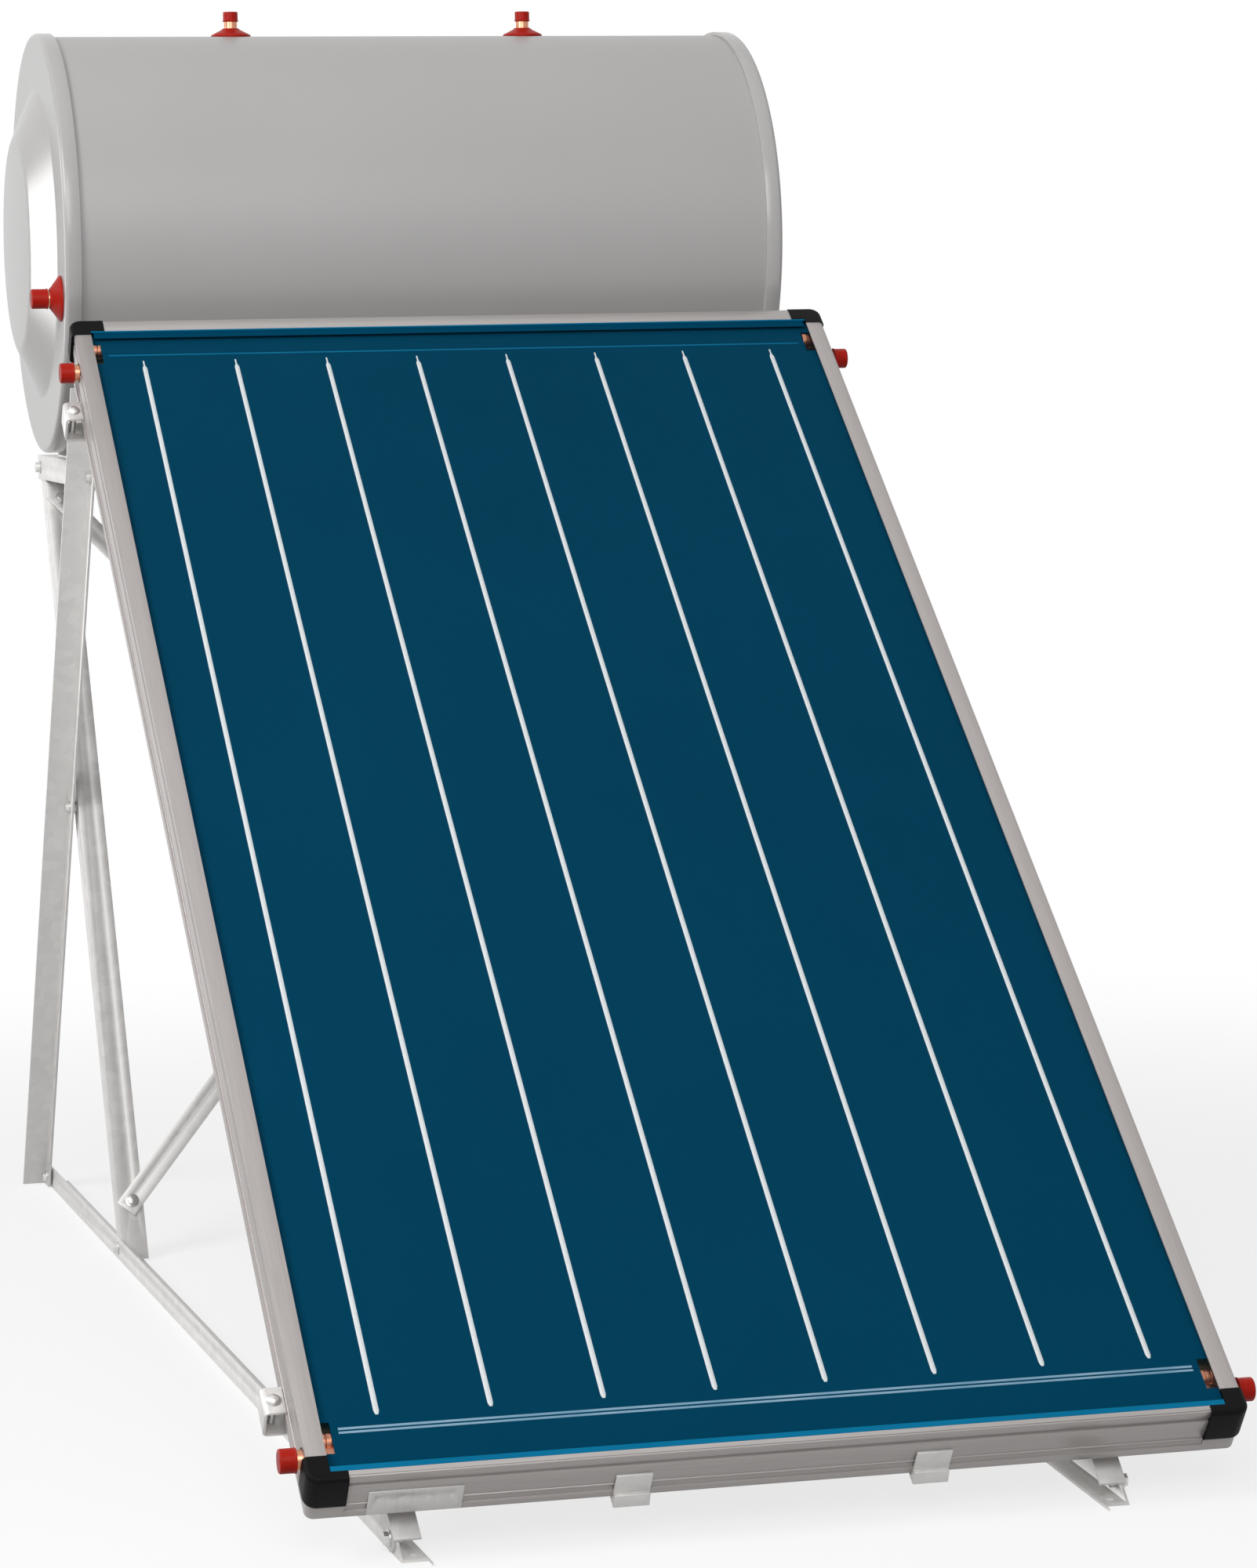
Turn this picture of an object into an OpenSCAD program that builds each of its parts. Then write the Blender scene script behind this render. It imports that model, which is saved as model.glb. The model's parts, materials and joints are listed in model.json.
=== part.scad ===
// Thermosiphon solar water heater: a flat plate collector and a horizontal
// storage tank on a stand of galvanised steel angles.
// Millimetres. X runs to the right, Y to the rear and Z up. The origin lies
// on the ground, under the middle of the stand.

/* [Collector] */
// Width over the side profiles
coll_w = 1032; // [900:1:1200]
// Length over the end profiles
coll_l = 2000; // [1800:1:2200]
// Depth of the frame profiles
coll_d = 65; // [65:1:80]
// Slope of the collector above the ground, degrees
tilt = 36.5; // [35:0.5:38]
// Height of the lower front edge above the ground
coll_z = 101; // [99:1:130]
// Distance from the front of the stand to the lower front edge
coll_setback = 2; // [1:0.5:20]
// How far the collector sits to the right of the middle of the stand
coll_offset = 16; // [-20:1:20]
// Visible width of the lip along each side
side_lip = 22; // [18:0.5:26]
// Visible width of the lip along the lower end
low_lip = 8; // [7:0.5:14]
// Visible width of the lip along the upper end
top_lip = 22; // [18:0.5:30]
// Wall of the frame profiles
profile_t = 2.5; // [2:0.1:3]
// Thickness of the lips and flanges of the profiles
lip_t = 2; // [1.5:0.1:2.5]
// Height of the flat upper band of a profile
band_h = 14; // [10:0.5:16]
// Height of the rounded middle band of a profile
bulge_h = 29; // [24:0.5:31]
// How far the rounded band stands out
bulge_out = 2; // [1.2:0.1:2.5]
// Height of the foot along the bottom of a profile
foot_h = 9; // [6:0.5:10]
// Length of a corner piece along the side
corner_side = 29; // [24:1:30]
// Length of a corner piece along the end
corner_end = 40; // [30:1:60]
// Outer radius of a corner piece
corner_r = 10; // [6:0.5:12]

/* [Absorber and glass] */
// Thickness of the glass
glass_t = 3.2; // [3:0.1:4]
// Thickness of the absorber sheet
sheet_t = 0.8; // [0.6:0.1:1]
// Number of riser tubes
risers = 8; // [6:1:10]
// Distance between riser tubes
riser_pitch = 123; // [80:1:124]
// Outer diameter of a riser tube
riser_d = 8; // [6:0.5:9]
// Outer diameter of a header tube
header_d = 22; // [20:0.5:22.5]
// Wall of the copper tubes in the collector
tube_t = 1; // [0.6:0.1:1.2]
// Distance from the lower end to the lower header
low_header = 45; // [44:1:60]
// Distance from the upper end to the upper header
top_header = 84; // [60:1:90]
// Depth of the headers below the lip
header_depth = 22; // [22:0.1:22.5]
// How far a header stands out at each side
header_out = 22.5; // [20:0.5:28]
// Width of a weld seam
seam_w = 6; // [3:0.5:8]
// Distance from the lower end to the lower fold of the sheet
low_fold = 66.5; // [60:0.5:80]
// Distance from the upper end to the upper fold of the sheet
top_fold = 64; // [50:0.5:70]
// Thickness of the wool under the absorber
wool_t = 25.5; // [20:0.5:26]

/* [Tank] */
// Diameter of the tank jacket
jacket_d = 572; // [540:1:600]
// Wall of the jacket
jacket_t = 1; // [0.8:0.1:2]
// Length of the tank over the rings of the end caps
tank_l = 1000; // [980:1:1060]
// Clear distance from the collector to the jacket, level
tank_gap = 53; // [40:1:80]
// Height of the tank axis above the upper edge of the collector
tank_rise = 107; // [90:1:130]
// Width of the end cap rim along the tank
rim_w = 23; // [18:0.5:27]
// Thickness of the end cap rim
rim_t = 4.6; // [3:0.1:6]
// Wall of the end caps
cap_t = 3; // [2:0.1:4]
// Radius of the foot of the end cap dome
dome_r = 208; // [190:1:209]
// Radius of the flat of the end cap dome
dome_flat_r = 138; // [110:1:145]
// Radius of the shoulder of the end cap dome
dome_round = 36; // [20:1:38]
// Height of the end cap dome
dome_h = 30; // [20:1:32]
// Diameter of the steel vessel inside
vessel_d = 460; // [430:1:470]
// Length of the vessel over its ends
vessel_l = 880; // [840:1:900]
// Depth of the dished ends of the vessel
dish_h = 80; // [60:1:110]
// Wall of the vessel
vessel_t = 3; // [2:0.1:4]
// Gap of the heating mantle round the vessel
mantle_gap = 30; // [28:0.5:32]
// Length of the heating mantle
mantle_l = 620; // [500:1:660]
// Wall of the heating mantle
mantle_t = 2; // [1.5:0.1:2.5]

/* [Connections] */
// Outer diameter of the top pipes
top_pipe_d = 18; // [16:0.5:19]
// Outer diameter of the side pipes
side_pipe_d = 22; // [20:0.5:23]
// Wall of the tank pipes
pipe_t = 1; // [0.8:0.1:1.5]
// How far a top pipe stands out
top_pipe_out = 33; // [30:0.5:36]
// How far a side pipe stands out
side_pipe_out = 38; // [37.5:0.5:42]
// Half the distance between the top pipes
top_pipe_x = 210; // [150:1:270]
// Distance of the middle of the top pipes from the middle of the tank
top_pipe_shift = -10; // [-20:1:20]
// Distance of a side pipe from the tank axis
side_pipe_r = 247; // [246:0.5:248]
// Angle of the left side pipe below the level, degrees
side_pipe_angle = 18; // [0:1:40]
// Angle of the right side pipe, the return, below the level, degrees
return_pipe_angle = 54; // [40:1:70]
// Radius of a top rosette
top_rosette_r = 28; // [24:0.5:30]
// Radius of a side rosette
side_rosette_r = 31; // [26:0.5:31]
// Height of a top rosette
top_rosette_h = 11.5; // [9:0.5:13]
// Height of a side rosette
side_rosette_h = 16; // [12:0.5:16]
// Wall of a top pipe plug
top_plug_t = 1; // [0.8:0.1:1.5]
// Wall of a side pipe plug or header plug
plug_t = 2; // [1.5:0.1:2.5]
// Length of a top pipe plug
top_plug_l = 12; // [9:0.5:14]
// Length of a side pipe plug
side_plug_l = 20; // [14:0.5:20.5]
// Length of a header plug
header_plug_l = 16; // [12:0.5:18]
// Outer diameter of the anode rod
anode_d = 30; // [20:1:34]
// Length of the anode rod
anode_l = 480; // [300:1:560]

/* [Stand] */
// Distance from the side of the collector in to the front of a slope rail
coll_overhang = 114; // [90:1:130]
// Distance from the ring of an end cap in to the front of a slope rail
tank_overhang = 98; // [90:1:130]
// Angle by which each side frame opens to the rear, degrees
splay = 1.8; // [0.5:0.1:2]
// Flange width of the ground and slope angles
rail_w = 30; // [28:1:32]
// Flange width of the leg angles
leg_w = 35; // [30:1:38]
// Thickness of the angles
angle_t = 3; // [2.5:0.1:3.5]
// Ground angle behind the tank axis
rail_behind = 374; // [350:1:420]
// Slope angle past the upper edge of the collector
slope_over = 20; // [16:1:40]
// Tank bar in front of the tank axis
bar_front = 275; // [260:1:290]
// Tank bar behind the tank axis
bar_rear = 280; // [270:1:300]
// Foot of the tank leg in front of the tank axis
foot_front = 230; // [200:1:260]
// Height of the saddle at its lowest point
saddle_h = 16; // [12:0.5:20]
// Length of the saddle, front to rear
saddle_l = 300; // [240:1:320]
// Width of the saddle along the tank
saddle_w = 40; // [30:1:42]
// Width of the cross rails
cross_w = 30; // [26:1:34]
// Height of the cross rails
cross_h = 22; // [20:0.5:24]
// Wall of the cross rails
cross_t = 2; // [1.5:0.1:2.5]
// Distance from the lower end to the lower cross rail
low_cross = 155; // [130:1:240]
// Distance from the upper end to the upper cross rail
top_cross = 125; // [100:1:200]
// Width of the flat braces
brace_w = 30; // [24:1:34]
// Diameter of the frame bolts
bolt_d = 8; // [6:0.5:8.5]
// Diameter of the ground anchor holes
anchor_d = 11; // [9:0.5:13]
// Distance of an anchor hole from the end of its ground angle
anchor_end = 36; // [34:1:60]

/* [Hidden] */
$fn = 64;

// Fits and small clearances
seat_gap = 0.3;
hole_gap = 0.5;
over = 1;
far = 4000;

// Colours as seen
galvanised = "#C6C4C2";
aluminium = "#C9C2C1";
jacket_grey = "#B2B0AF";
cap_grey = "#C4C3C1";
copper = "#C98A6B";
red = "#D02A1C";
black = "#161616";
absorber_blue = "#003E59";

// Heights in the collector, measured from the lip plane
glass_top = -lip_t - seat_gap;
glass_low = glass_top - glass_t;
sheet_top = glass_low - 1;
sheet_low = sheet_top - sheet_t;
fold_drop = 1.2;
side_ledge = glass_low - seat_gap;
end_ledge = sheet_low - fold_drop - seat_gap;
riser_w = sheet_low - fold_drop / 2 - seat_gap - riser_d / 2;
header_w = -header_depth;
back_t = 0.8;
back_top = lip_t + back_t - coll_d;
cross_top = -coll_d;
rail_top = cross_top - cross_h;
ledge_l = 14;
corner_t = 3;
inner_inset = bulge_out + profile_t + 1;
box_inset = corner_r - (corner_r - corner_t) * 0.7 + over;
header_v = [low_header, coll_l - top_header];
header_end = coll_w / 2 + header_out;
cross_v = [low_cross, coll_l - top_cross];

// The stand fits under the collector and the tank
stand_half = min(coll_w / 2 - coll_overhang, tank_l / 2 - tank_overhang);
// Middle between the plug on the left end of the tank and the plugs on the right of the collector
mid_x = (coll_offset + header_end - tank_l / 2 - side_pipe_out) / 2;

// Places in the stand
top_y = coll_setback + coll_l * cos(tilt);
top_z = coll_z + coll_l * sin(tilt);
jacket_r = jacket_d / 2;
tank_t = (top_y + jacket_r + tank_gap) / cos(splay);
tank_z = top_z + tank_rise;
rail_l = tank_t + rail_behind;
stand_front = -(rail_l * cos(splay) + rail_w * sin(splay)) / 2;
coll_y = stand_front + coll_setback;
tank_y = stand_front + tank_t * cos(splay);
slope = atan(tan(tilt) * cos(splay));
bar_top = tank_z - jacket_r - saddle_h;
bar_mid = bar_top - leg_w / 2;
bolt_z = rail_w / 2 + 1;
rear_foot_end = 24;
anchor_x = rail_w / 2 + 2;
foot_clear = 2;
washer_t = 1.6;
head_h = 5.3;
nut_h = 6.5;
hex_r = bolt_d * 0.92;

// A point of the collector, from its place along the slope and its height
// over the lip plane, as distance and height in the plane of a side frame
function in_side(v, w) = [
    (coll_setback + v * cos(tilt) - w * sin(tilt) + angle_t * sin(splay)) / cos(splay),
    coll_z + v * sin(tilt) + w * cos(tilt)];
slope_end_r = rail_w / 2;
slope_front = 3;
slope_foot = in_side(-slope_front, rail_top - slope_end_r);
slope_head = in_side(coll_l, rail_top - slope_end_r);
slope_len = norm(slope_head - slope_foot);
rear_foot = [rail_l - rear_foot_end, bolt_z];
tank_foot = [tank_t - foot_front, bolt_z];
tank_head = [tank_t + bar_rear - leg_w / 2, bar_mid];
function at_height(p, q, z) = p + (q - p) * ((z - p[1]) / (q[1] - p[1]));
rear_run = (slope_head[0] - rear_foot[0]) / (slope_head[1] - rear_foot[1]);
tank_run = (tank_head[0] - tank_foot[0]) / (tank_head[1] - tank_foot[1]);
cross_rise = (rear_foot[0] - tank_foot[0]) / (tank_run - rear_run);
leg_cross = at_height(tank_foot, tank_head, bolt_z + cross_rise);
rear_at_bar = at_height(rear_foot, slope_head, bar_mid);

// Layers of a side frame, measured inwards from the outer face of the ground angle
rear_layer = -2 * angle_t;
slope_layer = -angle_t;
rail_layer = 0;
tank_leg_layer = angle_t;

// Points of a round stretch about a centre
function arc(c, r, a0, a1, n = 6) = [for (i = [0:n])
    let (a = a0 + (a1 - a0) * i / n) c + r * [cos(a), sin(a)]];

// Frames of reference
module on_collector() translate([coll_offset - mid_x, coll_y, coll_z]) rotate([tilt, 0, 0]) children();
module on_tank() translate([-mid_x, tank_y, tank_z]) children();
module on_stand(right) translate([-mid_x, 0, 0]) to_right(right) children();
module to_right(right) {
    if (right) mirror([1, 0, 0]) children();
    else children();
}
module in_frame(right) on_stand(right) translate([-stand_half, stand_front, 0])
    rotate([0, 0, splay]) children();
// Runs a piece along +Y from one point of a side frame towards another
module member(p, q) translate([0, p[0], p[1]])
    rotate([atan2(q[1] - p[1], q[0] - p[0]), 0, 0]) children();
module bolt_hole(p) translate([0, p[0], p[1]]) rotate([0, 90, 0])
    cylinder(d = bolt_d + hole_gap, h = 4 * leg_w, center = true);
// Lays a profile drawn inwards from the collector's edge along the edge
module along_edge(l) rotate([90, 0, 0]) linear_extrude(l, center = true) children();

// Angle section: one flange along +X and one along +Z
module angle(w, l) {
    cube([w, l, angle_t]);
    cube([angle_t, l, w]);
}

// Stand
module base_rail(right) color(galvanised) in_frame(right) difference() {
    angle(rail_w, rail_l);
    // the upright flange is cut to the slope where the slope angle passes over it
    member(slope_foot, slope_head) translate([-over, -far / 2, slope_end_r - angle_t - 1])
        cube([rail_w, far, far]);
    for (p = [slope_foot, rear_foot, tank_foot]) bolt_hole(p);
    for (t = [anchor_end, rail_l - anchor_end - rail_w])
        translate([anchor_x, t, -over]) cylinder(d = anchor_d, h = angle_t + 2 * over);
}
module slope_rail(right) color(galvanised) in_frame(right) difference() {
    member(slope_foot, slope_head) {
        translate([slope_layer, -slope_end_r, slope_end_r - angle_t])
            cube([rail_w, slope_len + slope_end_r + slope_over, angle_t]);
        translate([slope_layer, 0, -slope_end_r]) cube([angle_t, slope_len + slope_over, rail_w]);
        translate([slope_layer, 0, 0]) rotate([0, 90, 0]) cylinder(r = slope_end_r, h = angle_t);
    }
    for (p = [slope_foot, slope_head]) bolt_hole(p);
}
module rear_leg(right) color(galvanised) in_frame(right) difference() {
    member(rear_foot, slope_head) {
        leg_l = norm(slope_head - rear_foot);
        translate([rear_layer, -leg_w, -leg_w / 2]) cube([angle_t, leg_l + 1.4 * leg_w, leg_w]);
        translate([rear_layer + angle_t - leg_w, -leg_w, -leg_w / 2])
            cube([leg_w, leg_l + leg_w / 2, angle_t]);
    }
    for (p = [rear_foot, leg_cross, rear_at_bar, slope_head]) bolt_hole(p);
    translate([-far / 2, -far / 2, -far]) cube([far, 2 * far, far + foot_clear]);
}
module tank_leg(right) color(galvanised) in_frame(right) difference() {
    leg_l = norm(tank_head - tank_foot);
    member(tank_foot, tank_head) difference() {
        union() {
            translate([tank_leg_layer, -leg_w, -leg_w / 2]) cube([angle_t, leg_l + 2 * leg_w, leg_w]);
            translate([tank_leg_layer, -leg_w, leg_w / 2 - angle_t])
                cube([leg_w, leg_l + 2 * leg_w, angle_t]);
        }
        for (y = [brace_at, leg_l - brace_at]) translate([brace_x, y, 0])
            cylinder(d = bolt_d + hole_gap, h = 2 * leg_w);
    }
    for (p = [tank_foot, leg_cross, tank_head]) bolt_hole(p);
    translate([-far / 2, -far / 2, -far]) cube([far, 2 * far, far + angle_t]);
    translate([-far / 2, -far / 2, bar_top - angle_t]) cube([far, 2 * far, far]);
}
module tank_bar(right) color(galvanised) in_frame(right) difference() {
    translate([rail_layer, tank_t - bar_front, bar_top]) mirror([0, 0, 1])
        angle(leg_w, bar_front + bar_rear);
    for (p = [rear_at_bar, tank_head]) bolt_hole(p);
}

// Flat braces, crossing in the plane of the tank legs
brace_at = 60;
function frame_point(x, p, right) = [
    (right ? -1 : 1) * (-stand_half + x * cos(splay) - p[0] * sin(splay)),
    stand_front + p[0] * cos(splay) + x * sin(splay), p[1]];
function leg_face(y) = let (d = (tank_head - tank_foot) / norm(tank_head - tank_foot))
    tank_foot + d * y + [-d[1], d[0]] * (leg_w / 2);
function unit(a) = a / norm(a);
brace_x = tank_leg_layer + leg_w / 2 + 2;
tank_leg_l = norm(tank_head - tank_foot);
brace_low = frame_point(brace_x, leg_face(brace_at), false);
brace_high = frame_point(brace_x, leg_face(tank_leg_l - brace_at), true);
brace_l = norm(brace_high - brace_low);
// Height of each brace over the flanges of the legs: the one rising to the left passes over the other
brace_lift = 0.6;
function brace_layer(right) = right ? brace_lift + angle_t : brace_lift;
// Runs a piece along +X from the foot of one tank leg to the head of the other, +Z to the front
module along_brace(right) on_stand(right) {
    x = unit(brace_high - brace_low);
    z = unit(cross([1, 0, 0], x));
    y = cross(z, x);
    multmatrix([for (i = [0:2]) [x[i], y[i], z[i], brace_low[i]]]) children();
}
module brace(right) color(galvanised) along_brace(right) difference() {
    translate([-brace_w / 2, -brace_w / 2, brace_layer(right)])
        cube([brace_l + brace_w, brace_w, angle_t]);
    for (x = [0, brace_l]) translate([x, 0, -leg_w]) cylinder(d = bolt_d + hole_gap, h = 2 * leg_w);
}

// A hexagon bolt along +Z through a stack of flat pieces from z0 to z1, head at z0
washer_r = hex_r * 1.25;
module bolt(z0, z1) {
    translate([0, 0, z0 - washer_t]) cylinder(r = washer_r, h = washer_t);
    translate([0, 0, z0 - washer_t - head_h]) cylinder(r = hex_r, h = head_h, $fn = 6);
    translate([0, 0, z0 - over]) cylinder(d = bolt_d, h = z1 - z0 + nut_h + 2 * over);
    translate([0, 0, z1]) cylinder(r = hex_r, h = nut_h, $fn = 6);
}
// Loose washers that fill the space between two pieces
module packing(z0, z1) translate([0, 0, z0]) cylinder(r = washer_r, h = z1 - z0);
module frame_bolt(x0, x1) rotate([0, 90, 0]) bolt(x0, x1);
module frame_packing(x0, x1) rotate([0, 90, 0]) packing(x0, x1);
module frame_bolts() color("#D8D8D6") for (right = [false, true]) {
    side_bolts(right);
    along_brace(right) for (x = [0, brace_l]) translate([x, 0, 0]) mirror([0, 0, 1]) {
        bolt(-brace_layer(right) - angle_t, angle_t + brace_lift);
        if (right) packing(-brace_layer(right), -brace_lift);
    }
}
module side_bolts(right) in_frame(right) {
    translate([0, slope_foot[0], slope_foot[1]]) frame_bolt(slope_layer, rail_layer + angle_t);
    translate([0, rear_foot[0], rear_foot[1]]) {
        frame_bolt(rear_layer, rail_layer + angle_t);
        frame_packing(slope_layer, rail_layer);
    }
    translate([0, tank_foot[0], tank_foot[1]]) frame_bolt(rail_layer, tank_leg_layer + angle_t);
    translate([0, leg_cross[0], leg_cross[1]]) {
        frame_bolt(rear_layer, tank_leg_layer + angle_t);
        frame_packing(slope_layer, tank_leg_layer);
    }
    translate([0, rear_at_bar[0], rear_at_bar[1]]) {
        frame_bolt(rear_layer, rail_layer + angle_t);
        frame_packing(slope_layer, rail_layer);
    }
    translate([0, tank_head[0], tank_head[1]]) frame_bolt(rail_layer, tank_leg_layer + angle_t);
    translate([0, slope_head[0], slope_head[1]]) frame_bolt(rear_layer, slope_layer + angle_t);
}

// Lipped channel, open towards the collector
module cross_rail(v) color(galvanised) on_collector() translate([0, v, cross_top])
    rotate([90, 0, 90]) linear_extrude(coll_w - 2 * cross_short, center = true) difference() {
        translate([-cross_w / 2, -cross_h]) square([cross_w, cross_h]);
        translate([-cross_w / 2 + cross_t, -cross_h + cross_t])
            square([cross_w - 2 * cross_t, cross_h - 2 * cross_t]);
        translate([-cross_slot / 2, -cross_h / 2]) square([cross_slot, cross_h]);
    }
cross_short = 11;
cross_slot = 12;

// Side clamps: a bent strip from under a cross rail round to the foot of the side profile
clamp_t = 3;
clamp_w = 36;
clamp_reach = 22;
bend_r = 2 * clamp_t;
clamp_hold = 34;
clamp_bolt_u = coll_w / 2 + 10;
module clamp_section() {
    low = rail_top - clamp_t;
    high = foot_h - coll_d;
    out = coll_w / 2 + clamp_reach;
    difference() {
        translate([coll_w / 2 - clamp_hold, low])
            square([clamp_reach + clamp_hold, high + clamp_t - low]);
        translate([coll_w / 2 - clamp_hold - over, rail_top])
            square([clamp_reach + clamp_hold + over - clamp_t, high - rail_top]);
        translate([-over, high - over]) square([coll_w / 2 - bulge_out + hole_gap + over, far]);
        for (y = [low, high + clamp_t]) difference() {
            round_y = y == low ? low + bend_r : y - bend_r;
            translate([out - bend_r, y - bend_r]) square([bend_r + over, 2 * bend_r]);
            translate([out - bend_r, round_y]) circle(bend_r);
        }
    }
}
module at_clamps() on_collector() for (v = cross_v) for (right = [false, true])
    to_right(!right) translate([0, v, 0]) children();
module side_clamps() color(galvanised) at_clamps() difference() {
    along_edge(clamp_w) clamp_section();
    translate([clamp_bolt_u, 0, rail_top - 2 * clamp_t]) cylinder(d = bolt_d + hole_gap, h = coll_d);
}
module clamp_bolts() color("#D8D8D6") at_clamps() translate([clamp_bolt_u, 0, 0]) {
    translate([0, 0, foot_h - coll_d + clamp_t]) intersection() {
        translate([0, 0, -hex_r * 0.5]) sphere(r = hex_r * 1.3);
        cylinder(r = hex_r * 1.3, h = hex_r);
    }
    translate([0, 0, rail_top - clamp_t - nut_h - over])
        cylinder(d = bolt_d, h = foot_h - coll_d + clamp_t - rail_top + clamp_t + nut_h + 2 * over);
    translate([0, 0, rail_top - clamp_t - nut_h]) cylinder(r = hex_r, h = nut_h, $fn = 6);
}

// Hooks that hold the lower end of the collector off the lower cross rail
hook_w = 40;
hook_u = 166;
hook_t = 3;
hook_top = -30;
hook_drop = 8;
module lower_hooks() color(galvanised) on_collector() for (s = [-1, 1])
    translate([s * hook_u, 0, 0]) rotate([90, 0, 90]) linear_extrude(hook_w, center = true) {
        low = -coll_d - hook_drop;
        translate([-hook_t, low]) square([hook_t, hook_top - low]);
        translate([-hook_t, low]) square([low_cross - cross_w / 2 + hook_t, hook_t]);
        translate([low_cross - cross_w / 2 - hook_t, rail_top]) square([hook_t, low + hook_t - rail_top]);
    }

// Saddles: a bent strip under the tank on two legs and a sole
saddle_t = 4;
saddle_rise = 45;
saddle_x = stand_half + tank_t * sin(splay) - leg_w / 2 - 6;
module tank_saddle(right) color(galvanised) on_tank() to_right(right) translate([-saddle_x, 0, 0])
    rotate([90, 0, 90]) linear_extrude(saddle_w, center = true) difference() {
        translate([-saddle_l / 2, bar_top - tank_z]) square([saddle_l, saddle_h + jacket_r]);
        circle(jacket_r + seat_gap);
        for (s = [-1, 1]) translate([s * saddle_l / 4, 0]) difference() {
            translate([-saddle_l / 4 + saddle_t, bar_top - tank_z + saddle_t])
                square([saddle_l / 2 - 2 * saddle_t, jacket_r]);
            translate([-s * saddle_l / 4, 0]) circle(jacket_r + seat_gap + saddle_t);
        }
        translate([-saddle_l, saddle_rise - jacket_r]) square([2 * saddle_l, jacket_r]);
    }

// Tank
ring_x = tank_l / 2;
rim_r = jacket_r + seat_gap + rim_t;
jacket_l = tank_l - 2 * (cap_t + 6);
function pipe_angle(right) = right ? return_pipe_angle : side_pipe_angle;
vessel_r = vessel_d / 2;
mantle_r = vessel_r + mantle_gap + mantle_t;
module about_x(right) rotate([0, right ? 90 : -90, 0]) children();
module at_side_pipe(right)
    translate(-side_pipe_r * [0, cos(pipe_angle(right)), sin(pipe_angle(right))]) about_x(right) children();
module at_top_pipe(s) translate([s * top_pipe_x + top_pipe_shift, 0, 0]) children();
module top_bores() for (s = [-1, 1]) at_top_pipe(s)
    cylinder(d = top_pipe_d + 2 * seat_gap, h = jacket_d);
module side_bores() for (right = [false, true]) at_side_pipe(right)
    cylinder(d = side_pipe_d + 2 * seat_gap, h = tank_l);

module tank_jacket() color(jacket_grey) on_tank() difference() {
    about_x(true) cylinder(r = jacket_r, h = jacket_l, center = true);
    about_x(true) cylinder(r = jacket_r - jacket_t, h = tank_l, center = true);
    top_bores();
}
// Half section of an end cap: rim, flat ring, sloping dome and a slightly crowned flat
rim_round = 6;
crown = 3;
dome_foot = 8;
dome_run = dome_r + dome_foot - dome_flat_r;
dome_drop = dome_h - dome_round - dome_foot;
dome_lean = atan(dome_drop / dome_run) + asin((dome_foot + dome_round) / norm([dome_run, dome_drop]));
module cap_section() {
    r0 = rim_r - rim_round;
    z0 = ring_x - rim_round;
    dome = ring_x + dome_h;
    polygon(concat(
        [[rim_r, ring_x - rim_w]],
        arc([r0, z0], rim_round, 0, 90),
        arc([dome_r + dome_foot, ring_x + dome_foot], dome_foot, -90, -90 - dome_lean, 4),
        arc([dome_flat_r, dome - dome_round], dome_round, 90 - dome_lean, 90, 4),
        [[dome_flat_r / 2, dome + crown * 0.75], [0, dome + crown],
         [0, dome + crown - cap_t], [dome_flat_r / 2, dome + crown * 0.75 - cap_t]],
        arc([dome_flat_r, dome - dome_round], dome_round - cap_t, 90, 90 - dome_lean, 4),
        arc([dome_r + dome_foot, ring_x + dome_foot], dome_foot + cap_t, -90 - dome_lean, -90, 4),
        arc([r0, z0], rim_round - cap_t, 90, 0),
        [[rim_r - cap_t, jacket_l / 2 + seat_gap], [jacket_r + seat_gap, jacket_l / 2 + seat_gap],
         [jacket_r + seat_gap, ring_x - rim_w]]));
}
module end_cap(right) color(cap_grey) on_tank() difference() {
    about_x(right) rotate_extrude() cap_section();
    side_bores();
}
// Half outline of the vessel with dished ends
module vessel_half(inset) {
    r = vessel_r - inset;
    h = vessel_l / 2 - inset;
    z = h - dish_h;
    polygon(concat([[0, -h]],
        [for (i = [1:9]) [r * sin(i * 10), -z - dish_h * cos(i * 10)]],
        [for (i = [9:-1:1]) [r * sin(i * 10), z + dish_h * cos(i * 10)]], [[0, h]]));
}
module vessel() color("#8C9196") on_tank() difference() {
    about_x(true) rotate_extrude() difference() {
        vessel_half(0);
        vessel_half(vessel_t);
    }
    top_bores();
    about_x(false) cylinder(d = anode_d + 2 * seat_gap, h = tank_l);
}
module heating_mantle() color("#8C9196") on_tank() difference() {
    about_x(true) rotate_extrude() difference() {
        translate([vessel_r + seat_gap, -mantle_l / 2])
            square([mantle_r - vessel_r - seat_gap, mantle_l]);
        translate([0, mantle_t - mantle_l / 2]) square([mantle_r - mantle_t, mantle_l - 2 * mantle_t]);
    }
    top_bores();
    side_bores();
}
module foam_insulation() color("#E3D7A4") on_tank() difference() {
    about_x(true) cylinder(r = jacket_r - jacket_t - seat_gap, h = jacket_l, center = true);
    about_x(true) rotate_extrude() vessel_half(-seat_gap);
    about_x(true) cylinder(r = mantle_r + seat_gap, h = mantle_l + 2 * seat_gap, center = true);
    about_x(false) cylinder(d = anode_d * 1.8, h = tank_l);
    top_bores();
    side_bores();
}
// Sacrificial rod with its hexagon plug in the left end of the vessel
module anode_rod() color("#9A9DA0") on_tank() about_x(false) {
    translate([0, 0, vessel_l / 2 - anode_l]) cylinder(d = anode_d, h = anode_l + 2);
    translate([0, 0, vessel_l / 2 + 1]) cylinder(d = anode_d * 1.5, h = 12, $fn = 6);
}

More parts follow.
